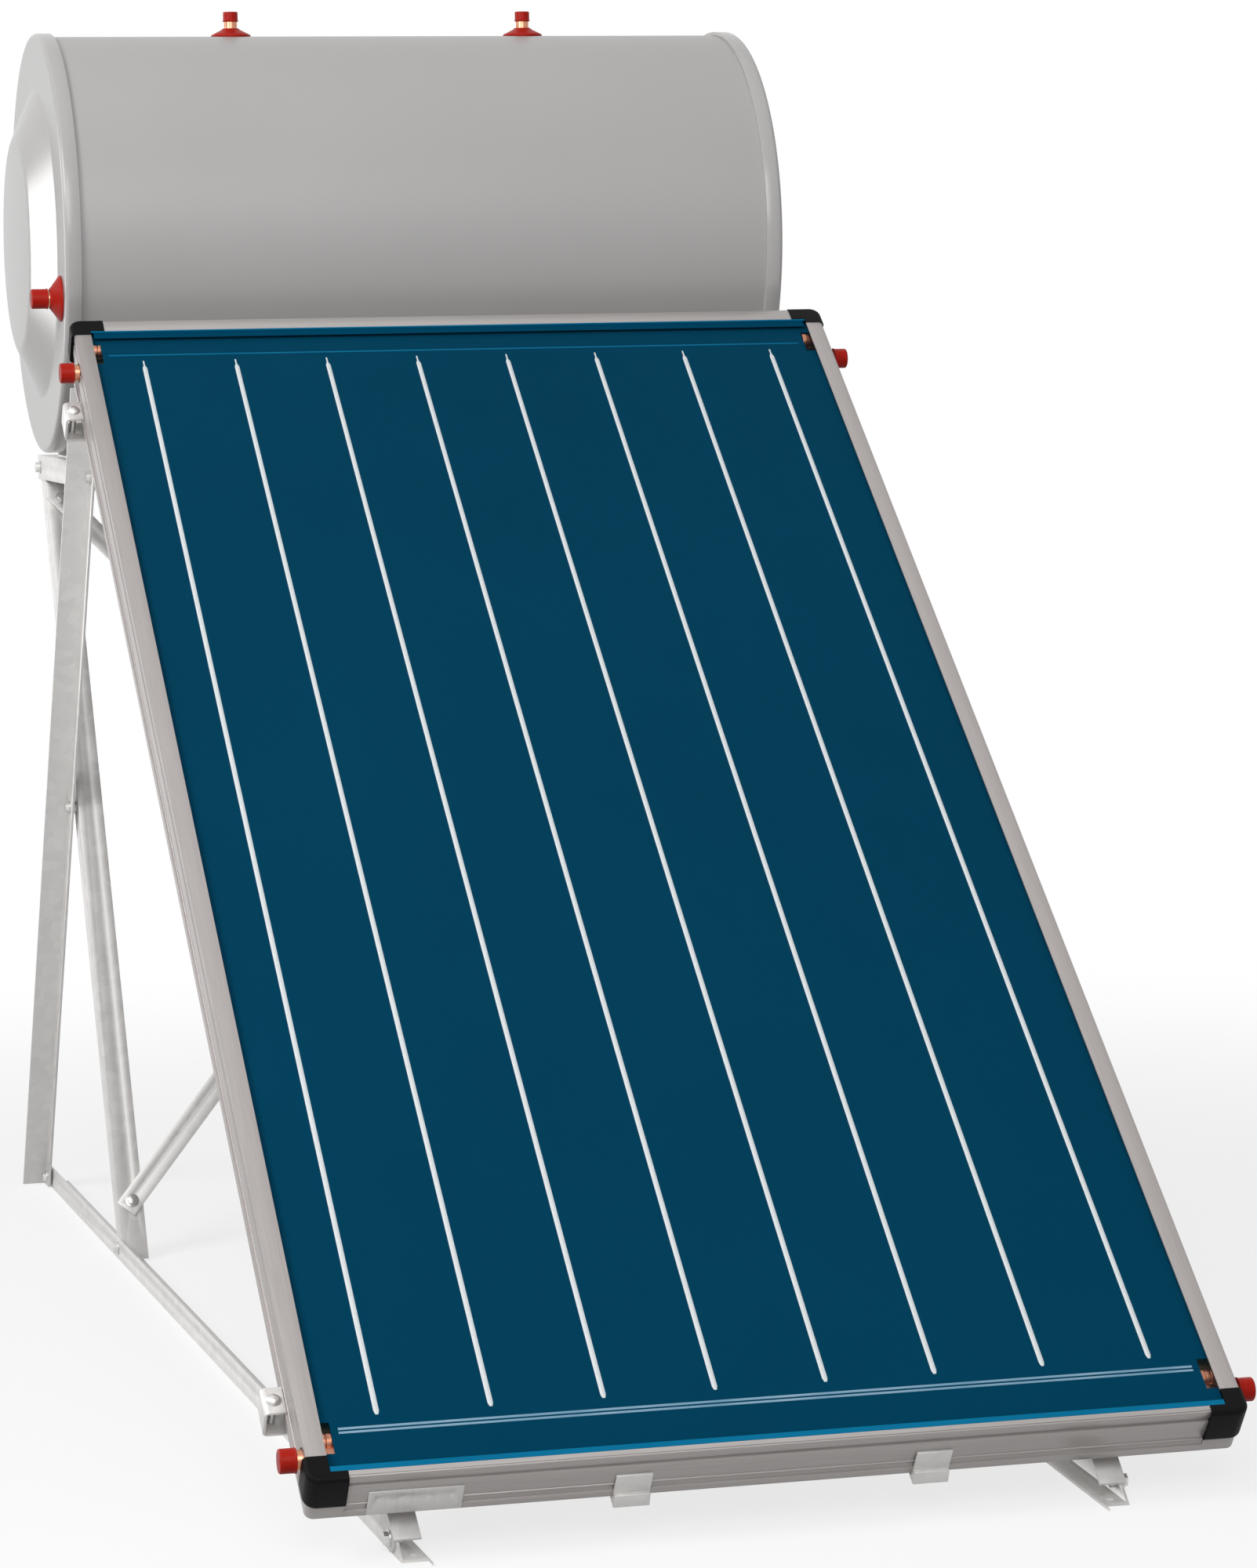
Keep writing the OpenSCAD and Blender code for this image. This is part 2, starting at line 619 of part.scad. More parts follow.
// Tank pipes: a straight copper tube from inside its chamber out through the insulation
module tank_pipe(d, from, to) difference() {
    translate([0, 0, from]) cylinder(d = d, h = to - from);
    translate([0, 0, from - over]) cylinder(d = d - 2 * pipe_t, h = to - from + 2 * over);
}
pipe_dip = 40;
module top_pipe(s, dip) color(copper) on_tank() at_top_pipe(s)
    tank_pipe(top_pipe_d, vessel_r - dip, jacket_r + top_pipe_out);
module hot_water_pipe() top_pipe(-1, pipe_dip);
module cold_water_pipe() top_pipe(1, vessel_d - 2 * pipe_dip);
module mantle_pipe(right) color(copper) on_tank() at_side_pipe(right)
    tank_pipe(side_pipe_d, mantle_l / 2 - pipe_dip, ring_x + side_pipe_out);

// Conical rosette with a rounded foot, round a pipe of a diameter, standing from a level below its seat
rosette_foot = 1.6;
rosette_neck = 2.5;
module rosette(d, r, h, foot) rotate_extrude() polygon([
    [d / 2 + seat_gap, foot], [r, foot], [r, rosette_foot], [r - 1.2, rosette_foot + 1.2],
    [d / 2 + rosette_neck + 1, h - 1.6], [d / 2 + rosette_neck, h], [d / 2 + seat_gap, h]]);
rosette_sag = jacket_r - sqrt(jacket_r * jacket_r - top_rosette_r * top_rosette_r);
module pipe_rosettes() color(red) on_tank() {
    for (s = [-1, 1]) difference() {
        at_top_pipe(s) translate([0, 0, jacket_r])
            rosette(top_pipe_d, top_rosette_r, top_rosette_h, -rosette_sag - over);
        about_x(true) cylinder(r = jacket_r + seat_gap, h = tank_l, center = true, $fn = 360);
    }
    for (right = [false, true]) at_side_pipe(right) translate([0, 0, ring_x])
        rosette(side_pipe_d, side_rosette_r, side_rosette_h, seat_gap);
}

// Protective plug that slips over a pipe end: a cup with a rolled mouth and a domed end
plug_crown = 0.6;
plug_bead = 0.8;
bead_turn = 60;
shoulder_turn = 78;
module pipe_plug(d, l, t) rotate_extrude() {
    r = d / 2 + seat_gap;
    out = r + t;
    polygon(concat(
        [[r, -l], [out, -l]], arc([out, plug_bead - l], plug_bead, -bead_turn, bead_turn, 4),
        [[out, 2.5 * plug_bead - l]],
        arc([out - t, hole_gap], t, 0, shoulder_turn, 4),
        [[0, t + hole_gap + plug_crown], [0, hole_gap], [r, hole_gap]]));
}
module top_plug(s) color(red) on_tank() at_top_pipe(s) translate([0, 0, jacket_r + top_pipe_out])
    pipe_plug(top_pipe_d, top_plug_l, top_plug_t);
module side_plug(right) color(red) on_tank() at_side_pipe(right) translate([0, 0, ring_x + side_pipe_out])
    pipe_plug(side_pipe_d, side_plug_l, plug_t);
module header_plug(right, v) color(red) on_collector() translate([0, v, header_w]) about_x(right)
    translate([0, 0, header_end]) pipe_plug(header_d, header_plug_l, plug_t);

// Collector frame section, drawn inwards from its outermost face
// The upper band draws in above a groove, the middle band below its crease
groove_w = 2.5;
band_step = 1;
crease = 0.45;
module frame_section(lip, ledge) {
    back = bulge_out + profile_t;
    bulge_top = -band_h - groove_w;
    bulge_low = bulge_top - bulge_h;
    translate([bulge_out, -coll_d]) square([profile_t, coll_d]);
    polygon([[back, -band_step], [0, -band_step], [0, -band_h * (1 - crease / 2)], [bulge_out, -band_h],
             [back, -band_h]]);
    polygon([[back, bulge_top], [0, bulge_top], [0, bulge_top - bulge_h * crease], [bulge_out, bulge_low],
             [back, bulge_low]]);
    translate([bulge_out, bulge_low - 1.6]) circle(1.2, $fn = 24);
    translate([0, -coll_d]) square([bulge_out + profile_t, foot_h]);
    translate([bulge_out, -lip_t]) square([lip - bulge_out, lip_t]);
    translate([bulge_out + 1.4, -1.4]) circle(1.4, $fn = 24);
    translate([bulge_out, ledge - lip_t]) square([ledge_l - bulge_out, lip_t]);
    translate([bulge_out, -coll_d]) square([18, lip_t]);
}
module side_profile(right) color(aluminium) on_collector() to_right(right) difference() {
    translate([-coll_w / 2, coll_l / 2, 0]) along_edge(coll_l - 2 * corner_side)
        frame_section(side_lip, side_ledge);
    for (v = header_v) translate([-coll_w / 2 - over, v, header_w]) rotate([0, 90, 0])
        cylinder(r = grommet_r + seat_gap, h = 2 * side_lip);
}
module end_profile(top) color("#9F9B99") on_collector() translate([0, top ? coll_l : 0, 0])
    rotate([0, 0, top ? -90 : 90]) along_edge(coll_w - 2 * corner_end)
        frame_section(top ? top_lip : low_lip, end_ledge);

// Corner pieces: moulded shells with a rounded edge that close the ends of the profiles
module corner_plan(w, l, r) difference() {
    square([w, l]);
    difference() {
        translate([-over, -over]) square(r + over);
        translate([r, r]) circle(r);
    }
}
module corner(right, top) {
    lip = top ? top_lip : low_lip;
    color(black) on_collector() to_right(right) translate([-coll_w / 2, top ? coll_l : 0, 0])
        mirror([0, top ? 1 : 0, 0]) {
            translate([0, 0, -lip_t]) linear_extrude(lip_t) difference() {
                corner_plan(corner_end, corner_side, corner_r);
                translate([side_lip, lip]) square(far);
            }
            translate([0, 0, -coll_d]) linear_extrude(coll_d) difference() {
                corner_plan(corner_end, corner_side, corner_r);
                translate([corner_t, corner_t]) corner_plan(far, far, corner_r - corner_t);
            }
            translate([0, 0, -coll_d]) linear_extrude(lip_t) difference() {
                corner_plan(corner_end, corner_side, corner_r);
                translate([20, 20]) square(far);
            }
        }
}

glass_v = [low_lip - 2, coll_l - top_lip + 2];
module glass_pane() color("#CFE3E6", 0.3) on_collector()
    translate([inner_inset - coll_w / 2, glass_v[0], glass_low])
        cube([coll_w - 2 * inner_inset, glass_v[1] - glass_v[0], glass_t]);
// Thin bent strips that finish the lower and upper edge of the glass
strip_w = 7;
module glass_strips() color("#5E7F92") on_collector() for (top = [false, true])
    translate([0, top ? glass_v[1] - 2 : low_lip + 0.4, glass_top + 0.1]) translate([0, top ? -2 : 0, 0])
        translate([-coll_w / 2 + side_lip + 0.5, 0, 0])
            cube([coll_w - 2 * side_lip - 1, top ? 2 : strip_w, lip_t]);

// Absorber sheet with a fold near each end and notches that clear the header ends
sheet_half = coll_w / 2 - side_lip + 2;
sheet_v = [low_lip + 1, coll_l - top_lip + 1];
notch_w = 13;
notch_l = 42;
fold_v = [low_fold, coll_l - top_fold];
module absorber_sheet() color(absorber_blue) on_collector() difference() {
    rotate([90, 0, 90]) linear_extrude(2 * sheet_half, center = true) {
        polygon([[sheet_v[0], sheet_low - fold_drop], [fold_v[0], sheet_low], [fold_v[1], sheet_low],
            [sheet_v[1], sheet_low - fold_drop], [sheet_v[1], sheet_top - fold_drop],
            [fold_v[1], sheet_top], [fold_v[0], sheet_top], [sheet_v[0], sheet_top - fold_drop]]);
        for (v = fold_v) translate([v, sheet_low + 0.5]) circle(0.7, $fn = 24);
    }
    for (s = [-1, 1]) for (v = [header_v[0] + 14, header_v[1] + 20])
        translate([s * sheet_half, v, sheet_low]) cube([2 * notch_w, notch_l, 20], center = true);
}
function riser_u(i) = (i - (risers - 1) / 2) * riser_pitch;
seam_t = 0.4;
seam_start = 19.5;
seam_stop = 17;
seam_v = [low_fold + seam_start, coll_l - top_fold - seam_stop];
module weld_seams() color("#DDE7EA") on_collector() for (i = [0:risers - 1])
    translate([riser_u(i) - seam_w / 2, seam_v[0], sheet_top])
        cube([seam_w, seam_v[1] - seam_v[0], seam_t]);
module riser_tubes() color(copper) on_collector() difference() {
    for (i = [0:risers - 1]) translate([riser_u(i), header_v[0], riser_w]) rotate([-90, 0, 0])
    difference() {
        cylinder(d = riser_d, h = header_v[1] - header_v[0]);
        translate([0, 0, -over]) cylinder(d = riser_d - 2 * tube_t, h = coll_l);
    }
    for (v = header_v) header_bar(v, header_d + 2 * seat_gap);
}
module header_bar(v, d, longer = 0) translate([0, v, header_w]) rotate([0, 90, 0])
    cylinder(d = d, h = 2 * (header_end + longer), center = true);
module header(v) color(copper) on_collector() difference() {
    header_bar(v, header_d);
    header_bar(v, header_d - 2 * tube_t, over);
}
// Rubber grommets where the headers pass through the side profiles
grommet_r = header_d / 2 + 2.5;
module header_grommets() color(black) on_collector() for (v = header_v) for (right = [false, true])
    to_right(!right) translate([coll_w / 2 - inner_inset, v, header_w]) rotate([0, 90, 0]) difference() {
        cylinder(r = grommet_r, h = inner_inset);
        translate([0, 0, -over]) cylinder(d = header_d + 2 * seat_gap, h = inner_inset + 2 * over);
    }
module back_sheet() color("#A9ABAC") on_collector()
    translate([box_inset - coll_w / 2, box_inset, lip_t - coll_d])
        cube([coll_w - 2 * box_inset, coll_l - 2 * box_inset, back_t]);
module wool_insulation() color("#B7A24F") on_collector()
    translate([box_inset - coll_w / 2, box_inset, back_top])
        cube([coll_w - 2 * box_inset, coll_l - 2 * box_inset, wool_t]);
// Plate with four dimples over the vent in the lower profile
plate_u = -401;
plate_w = 102;
plate_h = 36;
plate_t = 1.5;
module vent_plate() color("#A5A19F") on_collector() translate([plate_u, 0, -coll_d + 2]) difference() {
    translate([-plate_w / 2, -plate_t, 0]) cube([plate_w, plate_t, plate_h]);
    for (x = [-38.5, -14, 14, 38.5]) translate([x, -plate_t, plate_h * 0.68]) rotate([90, 0, 0])
        cylinder(r = 4, h = 1.6, center = true);
}

base_rail(false);  // base_rail_left
base_rail(true);  // base_rail_right
slope_rail(false);  // slope_rail_left
slope_rail(true);  // slope_rail_right
rear_leg(false);  // rear_leg_left
rear_leg(true);  // rear_leg_right
tank_leg(false);  // tank_leg_left
tank_leg(true);  // tank_leg_right
tank_bar(false);  // tank_bar_left
tank_bar(true);  // tank_bar_right
brace(false);  // brace_rising_right
brace(true);  // brace_rising_left
frame_bolts();
cross_rail(cross_v[0]);  // cross_rail_lower
cross_rail(cross_v[1]);  // cross_rail_upper
side_clamps();
clamp_bolts();
lower_hooks();
tank_saddle(false);  // tank_saddle_left
tank_saddle(true);  // tank_saddle_right
tank_jacket();
end_cap(false);  // end_cap_left
end_cap(true);  // end_cap_right
vessel();
heating_mantle();
foam_insulation();
anode_rod();
hot_water_pipe();
cold_water_pipe();
mantle_pipe(false);  // mantle_pipe_left
mantle_pipe(true);  // mantle_pipe_right
pipe_rosettes();
top_plug(-1);  // plug_hot
top_plug(1);  // plug_cold
side_plug(false);  // plug_mantle_left
side_plug(true);  // plug_mantle_right
side_profile(false);  // profile_left
side_profile(true);  // profile_right
end_profile(false);  // profile_lower
end_profile(true);  // profile_upper
corner(false, false);  // corner_lower_left
corner(true, false);  // corner_lower_right
corner(false, true);  // corner_upper_left
corner(true, true);  // corner_upper_right
glass_pane();
glass_strips();
absorber_sheet();
weld_seams();
riser_tubes();
header(header_v[0]);  // header_lower
header(header_v[1]);  // header_upper
header_grommets();
back_sheet();
wool_insulation();
vent_plate();
header_plug(false, header_v[0]);  // plug_lower_left
header_plug(true, header_v[0]);  // plug_lower_right
header_plug(false, header_v[1]);  // plug_upper_left
header_plug(true, header_v[1]);  // plug_upper_right
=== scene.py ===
import json
import math

import bpy
from mathutils import Matrix, Vector

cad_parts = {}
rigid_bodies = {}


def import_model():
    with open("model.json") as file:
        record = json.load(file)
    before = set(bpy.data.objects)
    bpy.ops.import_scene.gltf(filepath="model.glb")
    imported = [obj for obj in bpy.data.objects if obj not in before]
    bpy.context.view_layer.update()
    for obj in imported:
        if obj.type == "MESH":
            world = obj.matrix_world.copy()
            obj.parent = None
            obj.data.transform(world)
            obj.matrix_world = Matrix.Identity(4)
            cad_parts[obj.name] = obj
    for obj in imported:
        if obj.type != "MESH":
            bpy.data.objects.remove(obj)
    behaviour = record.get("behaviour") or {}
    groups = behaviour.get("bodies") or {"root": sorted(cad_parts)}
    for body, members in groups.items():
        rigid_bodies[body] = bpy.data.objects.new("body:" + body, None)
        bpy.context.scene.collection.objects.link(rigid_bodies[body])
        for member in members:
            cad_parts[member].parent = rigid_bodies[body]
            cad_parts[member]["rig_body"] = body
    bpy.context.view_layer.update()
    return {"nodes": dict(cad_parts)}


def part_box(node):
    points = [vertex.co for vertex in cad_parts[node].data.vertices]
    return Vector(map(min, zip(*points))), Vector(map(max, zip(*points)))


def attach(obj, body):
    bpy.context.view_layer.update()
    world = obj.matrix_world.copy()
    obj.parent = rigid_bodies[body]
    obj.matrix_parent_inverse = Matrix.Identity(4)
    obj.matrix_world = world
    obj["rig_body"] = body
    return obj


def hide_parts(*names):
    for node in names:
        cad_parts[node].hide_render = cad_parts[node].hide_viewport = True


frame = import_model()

bl_info = {
    "name": "Solar Water Heater Finisher",
    "version": (1, 0, 0),
    "blender": (4, 5, 0),
    "location": "View3D > Sidebar > Heater",
    "description": "Rounds, details and finishes the solids of a thermosiphon solar water heater",
    "category": "Object",
}

# Sizes on the collector are in millimetres: across its width, up its slope and out of its front.
MM = 0.001
ROOT_BODY = "heater"
COLLECTOR_WIDTH = 1032.0
COLLECTOR_LENGTH = 2000.0
SHEET_TOP = -6.5
HEADER_OUT = -18.2
HOOK_PLACES = {"hook_lip_left": -166.0, "hook_lip_right": 166.0}
COLLAR_PLACES = {
    "collar_lower_left": (-487.0, 62.5), "collar_lower_right": (490.0, 61.5),
    "collar_upper_left": (-485.0, 1957.0), "collar_upper_right": (494.0, 1952.0),
}
# Name, place up the slope, distance of a pair from its middle, and width.
FOLD_RIDGES = (("lower_fold_ridges", 67.5, 2.6, 3.2), ("upper_fold_ridge", 1932.0, 0.0, 3.0))
WELD_COUNT = 8

# The photo's view, in metres.
CAMERA_PLACE = (-1.3665, -5.98127, 1.31393)
CAMERA_RIGHT = (0.96947, -0.24471, -0.01565)
CAMERA_UP = (0.03979, 0.09402, 0.99478)

# Name, place, aim, width, height, watts, and whether the lamp scatters on what it lights.
LAMPS = (
    ("side_softbox", (-4.5, -2.0, 4.0), (0, 0, 0.9), 2.4, 2.4, 170.0, True),
    ("front_softbox", (-1.5, -7.0, 4.5), (0, 0, 0.8), 4.0, 4.0, 235.0, True),
    ("top_softbox", (0.5, 0.5, 6.0), (0, 0, 0.8), 4.0, 4.0, 12.0, True),
    ("cap_strip_light", (-3.8, 3.1, 1.4), (-0.5, 0.8, 1.4), 1.1, 2.4, 70.0, False),
)

ANGLE_NODES = [
    "base_rail_left", "base_rail_right", "slope_rail_left", "slope_rail_right",
    "rear_leg_left", "rear_leg_right", "tank_leg_left", "tank_leg_right",
    "tank_bar_left", "tank_bar_right", "brace_rising_right", "brace_rising_left",
    "cross_rail_lower", "cross_rail_upper", "side_clamps", "lower_hooks",
    "tank_saddle_left", "tank_saddle_right",
]
FASTENER_NODES = ["frame_bolts", "clamp_bolts"]
PIPE_NODES = [
    "hot_water_pipe", "cold_water_pipe", "mantle_pipe_left", "mantle_pipe_right",
    "header_lower", "header_upper",
]
PLUG_NODES = [
    "plug_hot", "plug_cold", "plug_mantle_left", "plug_mantle_right",
    "plug_lower_left", "plug_lower_right", "plug_upper_left", "plug_upper_right",
]
PROFILE_NODES = ["profile_left", "profile_right", "profile_lower", "profile_upper"]
CORNER_NODES = [
    "corner_lower_left", "corner_lower_right", "corner_upper_left", "corner_upper_right",
]


def linear(hex_colour):
    """An sRGB hex colour as linear RGBA."""
    channels = [int(hex_colour[i:i + 2], 16) / 255 for i in (1, 3, 5)]
    curve = [c / 12.92 if c <= 0.04045 else ((c + 0.055) / 1.055) ** 2.4 for c in channels]
    return curve + [1.0]


def add_node(tree, kind, inputs=None, **settings):
    """Adds a shader node; an input given as a socket is linked, any other is set."""
    made = tree.nodes.new(kind)
    for name, value in settings.items():
        setattr(made, name, value)
    for name, value in (inputs or {}).items():
        if isinstance(value, bpy.types.NodeSocket):
            tree.links.new(value, made.inputs[name])
        else:
            made.inputs[name].default_value = value
    return made


def new_material(name):
    """A material with a Principled shader on its output: (material, tree, shader, place)."""
    made = bpy.data.materials.new(name)
    made.use_nodes = True
    tree = made.node_tree
    tree.nodes.clear()
    shader = add_node(tree, "ShaderNodeBsdfPrincipled")
    add_node(tree, "ShaderNodeOutputMaterial", {"Surface": shader.outputs["BSDF"]})
    place = add_node(tree, "ShaderNodeTexCoord").outputs["Object"]
    return made, tree, shader, place


def shade_between(tree, factor, dark, light):
    """A colour that runs from one hex value to another with a factor."""
    ramp = add_node(tree, "ShaderNodeValToRGB", {"Fac": factor})
    ramp.color_ramp.elements[0].color = linear(dark)
    ramp.color_ramp.elements[1].color = linear(light)
    return ramp.outputs["Color"]


def spread(tree, value, low, high):
    """A 0 to 1 value spread over a range."""
    made = add_node(tree, "ShaderNodeMapRange", {"Value": value, "To Min": low, "To Max": high})
    return made.outputs["Result"]


def finish_with(tree, shader, colour, roughness, height=None, depth_mm=0.05, strength=0.3):
    """Links colour, roughness and, where given, a height in millimetres to a shader."""
    tree.links.new(colour, shader.inputs["Base Color"])
    tree.links.new(roughness, shader.inputs["Roughness"])
    if height is not None:
        bump = add_node(tree, "ShaderNodeBump",
                        {"Height": height, "Distance": depth_mm * MM, "Strength": strength})
        tree.links.new(bump.outputs["Normal"], shader.inputs["Normal"])


def hot_dip_galvanised_steel():
    """Zinc spangle: flakes some 14 mm across, each a little lighter or darker than the next."""
    made, tree, shader, place = new_material("hot_dip_galvanised_steel")
    flakes = add_node(tree, "ShaderNodeTexVoronoi", {"Vector": place, "Scale": 1 / (14 * MM)})
    haze = add_node(tree, "ShaderNodeTexNoise",
                    {"Vector": place, "Scale": 1 / (160 * MM), "Detail": 4.0})
    tone = add_node(tree, "ShaderNodeMix",
                    {"Factor": 0.6, "A": flakes.outputs["Color"], "B": haze.outputs["Color"]},
                    data_type="RGBA")
    grey = add_node(tree, "ShaderNodeRGBToBW", {"Color": tone.outputs["Result"]}).outputs["Val"]
    colour = shade_between(tree, grey, "#CDCBC9", "#ECEAE8")
    finish_with(tree, shader, colour, spread(tree, grey, 0.38, 0.62), haze.outputs["Fac"], 0.2, 0.2)
    shader.inputs["Metallic"].default_value = 0.4
    return made


def bright_zinc_steel():
    """Plated bolts: brighter and smoother than the galvanised angles, with a faint cloudiness."""
    made, tree, shader, place = new_material("bright_zinc_steel")
    cloud = add_node(tree, "ShaderNodeTexNoise",
                     {"Vector": place, "Scale": 1 / (9 * MM), "Detail": 3.0})
    colour = shade_between(tree, cloud.outputs["Fac"], "#BDBDBB", "#E2E2E0")
    finish_with(tree, shader, colour, spread(tree, cloud.outputs["Fac"], 0.22, 0.4))
    shader.inputs["Metallic"].default_value = 0.85
    return made


def coil_coated_steel():
    """Satin light grey coating on rolled sheet: a soft broad sheen and a very fine orange peel."""
    made, tree, shader, place = new_material("coil_coated_steel")
    drift = add_node(tree, "ShaderNodeTexNoise",
                     {"Vector": place, "Scale": 1 / (220 * MM), "Detail": 3.0})
    peel = add_node(tree, "ShaderNodeTexNoise",
                    {"Vector": place, "Scale": 1 / (3 * MM), "Detail": 2.0})
    colour = shade_between(tree, drift.outputs["Fac"], "#B0AEAD", "#B7B5B4")
    finish_with(tree, shader, colour, spread(tree, drift.outputs["Fac"], 0.36, 0.44),
                peel.outputs["Fac"], 0.02, 0.15)
    return made


def moulded_asa():
    """Moulded end caps: light grey, glossier than the jacket, with a grain drawn 3 mm coarse."""
    made, tree, shader, place = new_material("moulded_asa")
    grain = add_node(tree, "ShaderNodeTexNoise",
                     {"Vector": place, "Scale": 1 / (3 * MM), "Detail": 2.0})
    colour = shade_between(tree, grain.outputs["Fac"], "#B4B2B1", "#BBB9B8")
    finish_with(tree, shader, colour, spread(tree, grain.outputs["Fac"], 0.18, 0.26))
    shader.inputs["IOR"].default_value = 1.5
    return made


def drawn_copper():
    """Copper tube that has been handled: warm, with patches dulled by oxide."""
    made, tree, shader, place = new_material("drawn_copper")
    oxide = add_node(tree, "ShaderNodeTexNoise",
                     {"Vector": place, "Scale": 1 / (14 * MM), "Detail": 5.0})
    colour = shade_between(tree, oxide.outputs["Fac"], "#9C5A3E", "#DDA587")
    finish_with(tree, shader, colour, spread(tree, oxide.outputs["Fac"], 0.22, 0.42))
    shader.inputs["Metallic"].default_value = 1.0
    return made


def moulded_polyethylene():
    """Soft red plastic of the plugs and rosettes: waxy sheen and a fine mould texture."""
    made, tree, shader, place = new_material("moulded_polyethylene")
    grain = add_node(tree, "ShaderNodeTexNoise",
                     {"Vector": place, "Scale": 1 / (2 * MM), "Detail": 2.0})
    colour = shade_between(tree, grain.outputs["Fac"], "#A0180D", "#B32114")
    finish_with(tree, shader, colour, spread(tree, grain.outputs["Fac"], 0.36, 0.46),
                grain.outputs["Fac"], 0.05, 0.2)
    shader.inputs["Specular IOR Level"].default_value = 0.12
    return made


def extruded_aluminium(name, dark, light, lines):
    """Mill finish extrusion: fine die lines along the length, drawn 2 mm apart so that they show."""
    made, tree, shader, place = new_material(name)
    along = add_node(tree, "ShaderNodeMapping", {"Vector": place, "Scale": lines})
    die = add_node(tree, "ShaderNodeTexNoise",
                   {"Vector": along.outputs["Vector"], "Scale": 1 / (2 * MM), "Detail": 2.0})
    colour = shade_between(tree, die.outputs["Fac"], dark, light)
    finish_with(tree, shader, colour, spread(tree, die.outputs["Fac"], 0.3, 0.46),
                die.outputs["Fac"], 0.03, 0.2)
    shader.inputs["Metallic"].default_value = 0.35
    return made


def moulded_black_polyamide():
    """Matt black corner mouldings with a spark-eroded grain about 1.5 mm coarse."""
    made, tree, shader, place = new_material("moulded_black_polyamide")
    grain = add_node(tree, "ShaderNodeTexNoise",
                     {"Vector": place, "Scale": 1 / (1.5 * MM), "Detail": 3.0})
    colour = shade_between(tree, grain.outputs["Fac"], "#060606", "#0D0D0D")
    finish_with(tree, shader, colour, spread(tree, grain.outputs["Fac"], 0.42, 0.58),
                grain.outputs["Fac"], 0.08, 0.25)
    shader.inputs["Specular IOR Level"].default_value = 0.08
    return made


def grommet_rubber():
    """Dull black rubber, a little dusty."""
    made, tree, shader, place = new_material("grommet_rubber")
    dust = add_node(tree, "ShaderNodeTexNoise",
                    {"Vector": place, "Scale": 1 / (5 * MM), "Detail": 3.0})
    finish_with(tree, shader, shade_between(tree, dust.outputs["Fac"], "#0F0F0F", "#262524"),
                spread(tree, dust.outputs["Fac"], 0.65, 0.85))
    return made


def selective_coating():
    """Vacuum-deposited blue absorber coating: deep and even, with faint drifts and a low sheen."""
    made, tree, shader, place = new_material("selective_coating")
    drift = add_node(tree, "ShaderNodeTexNoise",
                     {"Vector": place, "Scale": 1 / (400 * MM), "Detail": 3.0})
    colour = shade_between(tree, drift.outputs["Fac"], "#003F5B", "#004664")
    finish_with(tree, shader, colour, spread(tree, drift.outputs["Fac"], 0.42, 0.52))
    shader.inputs["IOR"].default_value = 1.05
    return made


def painted_lit_coating():
    """The same coating on a bent edge, with the light that the edge catches painted in: a lighter blue.
    """
    made, tree, shader, place = new_material("painted_lit_coating")
    drift = add_node(tree, "ShaderNodeTexNoise",
                     {"Vector": place, "Scale": 1 / (150 * MM), "Detail": 3.0})
    # Painted light: a lighter blue than the flat sheet's, for the light on the bend.
    colour = shade_between(tree, drift.outputs["Fac"], "#066A92", "#0E7BA6")
    finish_with(tree, shader, colour, spread(tree, drift.outputs["Fac"], 0.35, 0.5))
    shader.inputs["IOR"].default_value = 1.1
    return made


def bright_fold():
    """Painted highlight on the ridges of the lower fold: pale blue for the light on the rounded fold,
    brighter and darker in stretches some 80 mm long.
    """
    made, tree, shader, place = new_material("bright_fold")
    highlight_patches = add_node(tree, "ShaderNodeTexNoise",
                    {"Vector": place, "Scale": 1 / (80 * MM), "Detail": 4.0})
    # Painted highlight: this pale blue stands in for the light that the fold catches.
    colour = shade_between(tree, highlight_patches.outputs["Fac"], "#4C8FB3", "#A9CBDE")
    finish_with(tree, shader, colour, spread(tree, highlight_patches.outputs["Fac"], 0.3, 0.45))
    return made


def rolled_weld_bead():
    """Bright bead of bare metal over each riser tube."""
    made, tree, shader, place = new_material("rolled_weld_bead")
    grain = add_node(tree, "ShaderNodeTexNoise",
                     {"Vector": place, "Scale": 1 / (6 * MM), "Detail": 3.0})
    colour = shade_between(tree, grain.outputs["Fac"], "#EDF4F6", "#FCFEFE")
    finish_with(tree, shader, colour, spread(tree, grain.outputs["Fac"], 0.3, 0.5))
    return made


def low_iron_glass():
    """Clear solar glass with an anti-reflective surface: nearly unseen, with a weak sheen."""
    made, tree, shader, place = new_material("low_iron_glass")
    wave = add_node(tree, "ShaderNodeTexNoise",
                    {"Vector": place, "Scale": 1 / (60 * MM), "Detail": 2.0})
    finish_with(tree, shader, shade_between(tree, wave.outputs["Fac"], "#123F55", "#1A4A60"),
                spread(tree, wave.outputs["Fac"], 0.08, 0.14))
    shader.inputs["IOR"].default_value = 1.12
    shader.inputs["Alpha"].default_value = 0.05
    return made


def enamelled_steel():
    """Blue-grey enamel of the hidden vessel, with small pinholes."""
    made, tree, shader, place = new_material("enamelled_steel")
    pits = add_node(tree, "ShaderNodeTexNoise",
                    {"Vector": place, "Scale": 1 / (8 * MM), "Detail": 4.0})
    finish_with(tree, shader, shade_between(tree, pits.outputs["Fac"], "#7C8187", "#979DA3"),
                spread(tree, pits.outputs["Fac"], 0.2, 0.4), pits.outputs["Fac"], 0.1, 0.2)
    return made


def polyurethane_foam():
    """Cream rigid foam with open cells, drawn 4 mm wide so that they show."""
    made, tree, shader, place = new_material("polyurethane_foam")
    cells = add_node(tree, "ShaderNodeTexVoronoi", {"Vector": place, "Scale": 1 / (4 * MM)})
    finish_with(tree, shader, shade_between(tree, cells.outputs["Distance"], "#CDBF88", "#EBE0B2"),
                spread(tree, cells.outputs["Distance"], 0.8, 0.95),
                cells.outputs["Distance"], 0.6, 0.5)
    return made


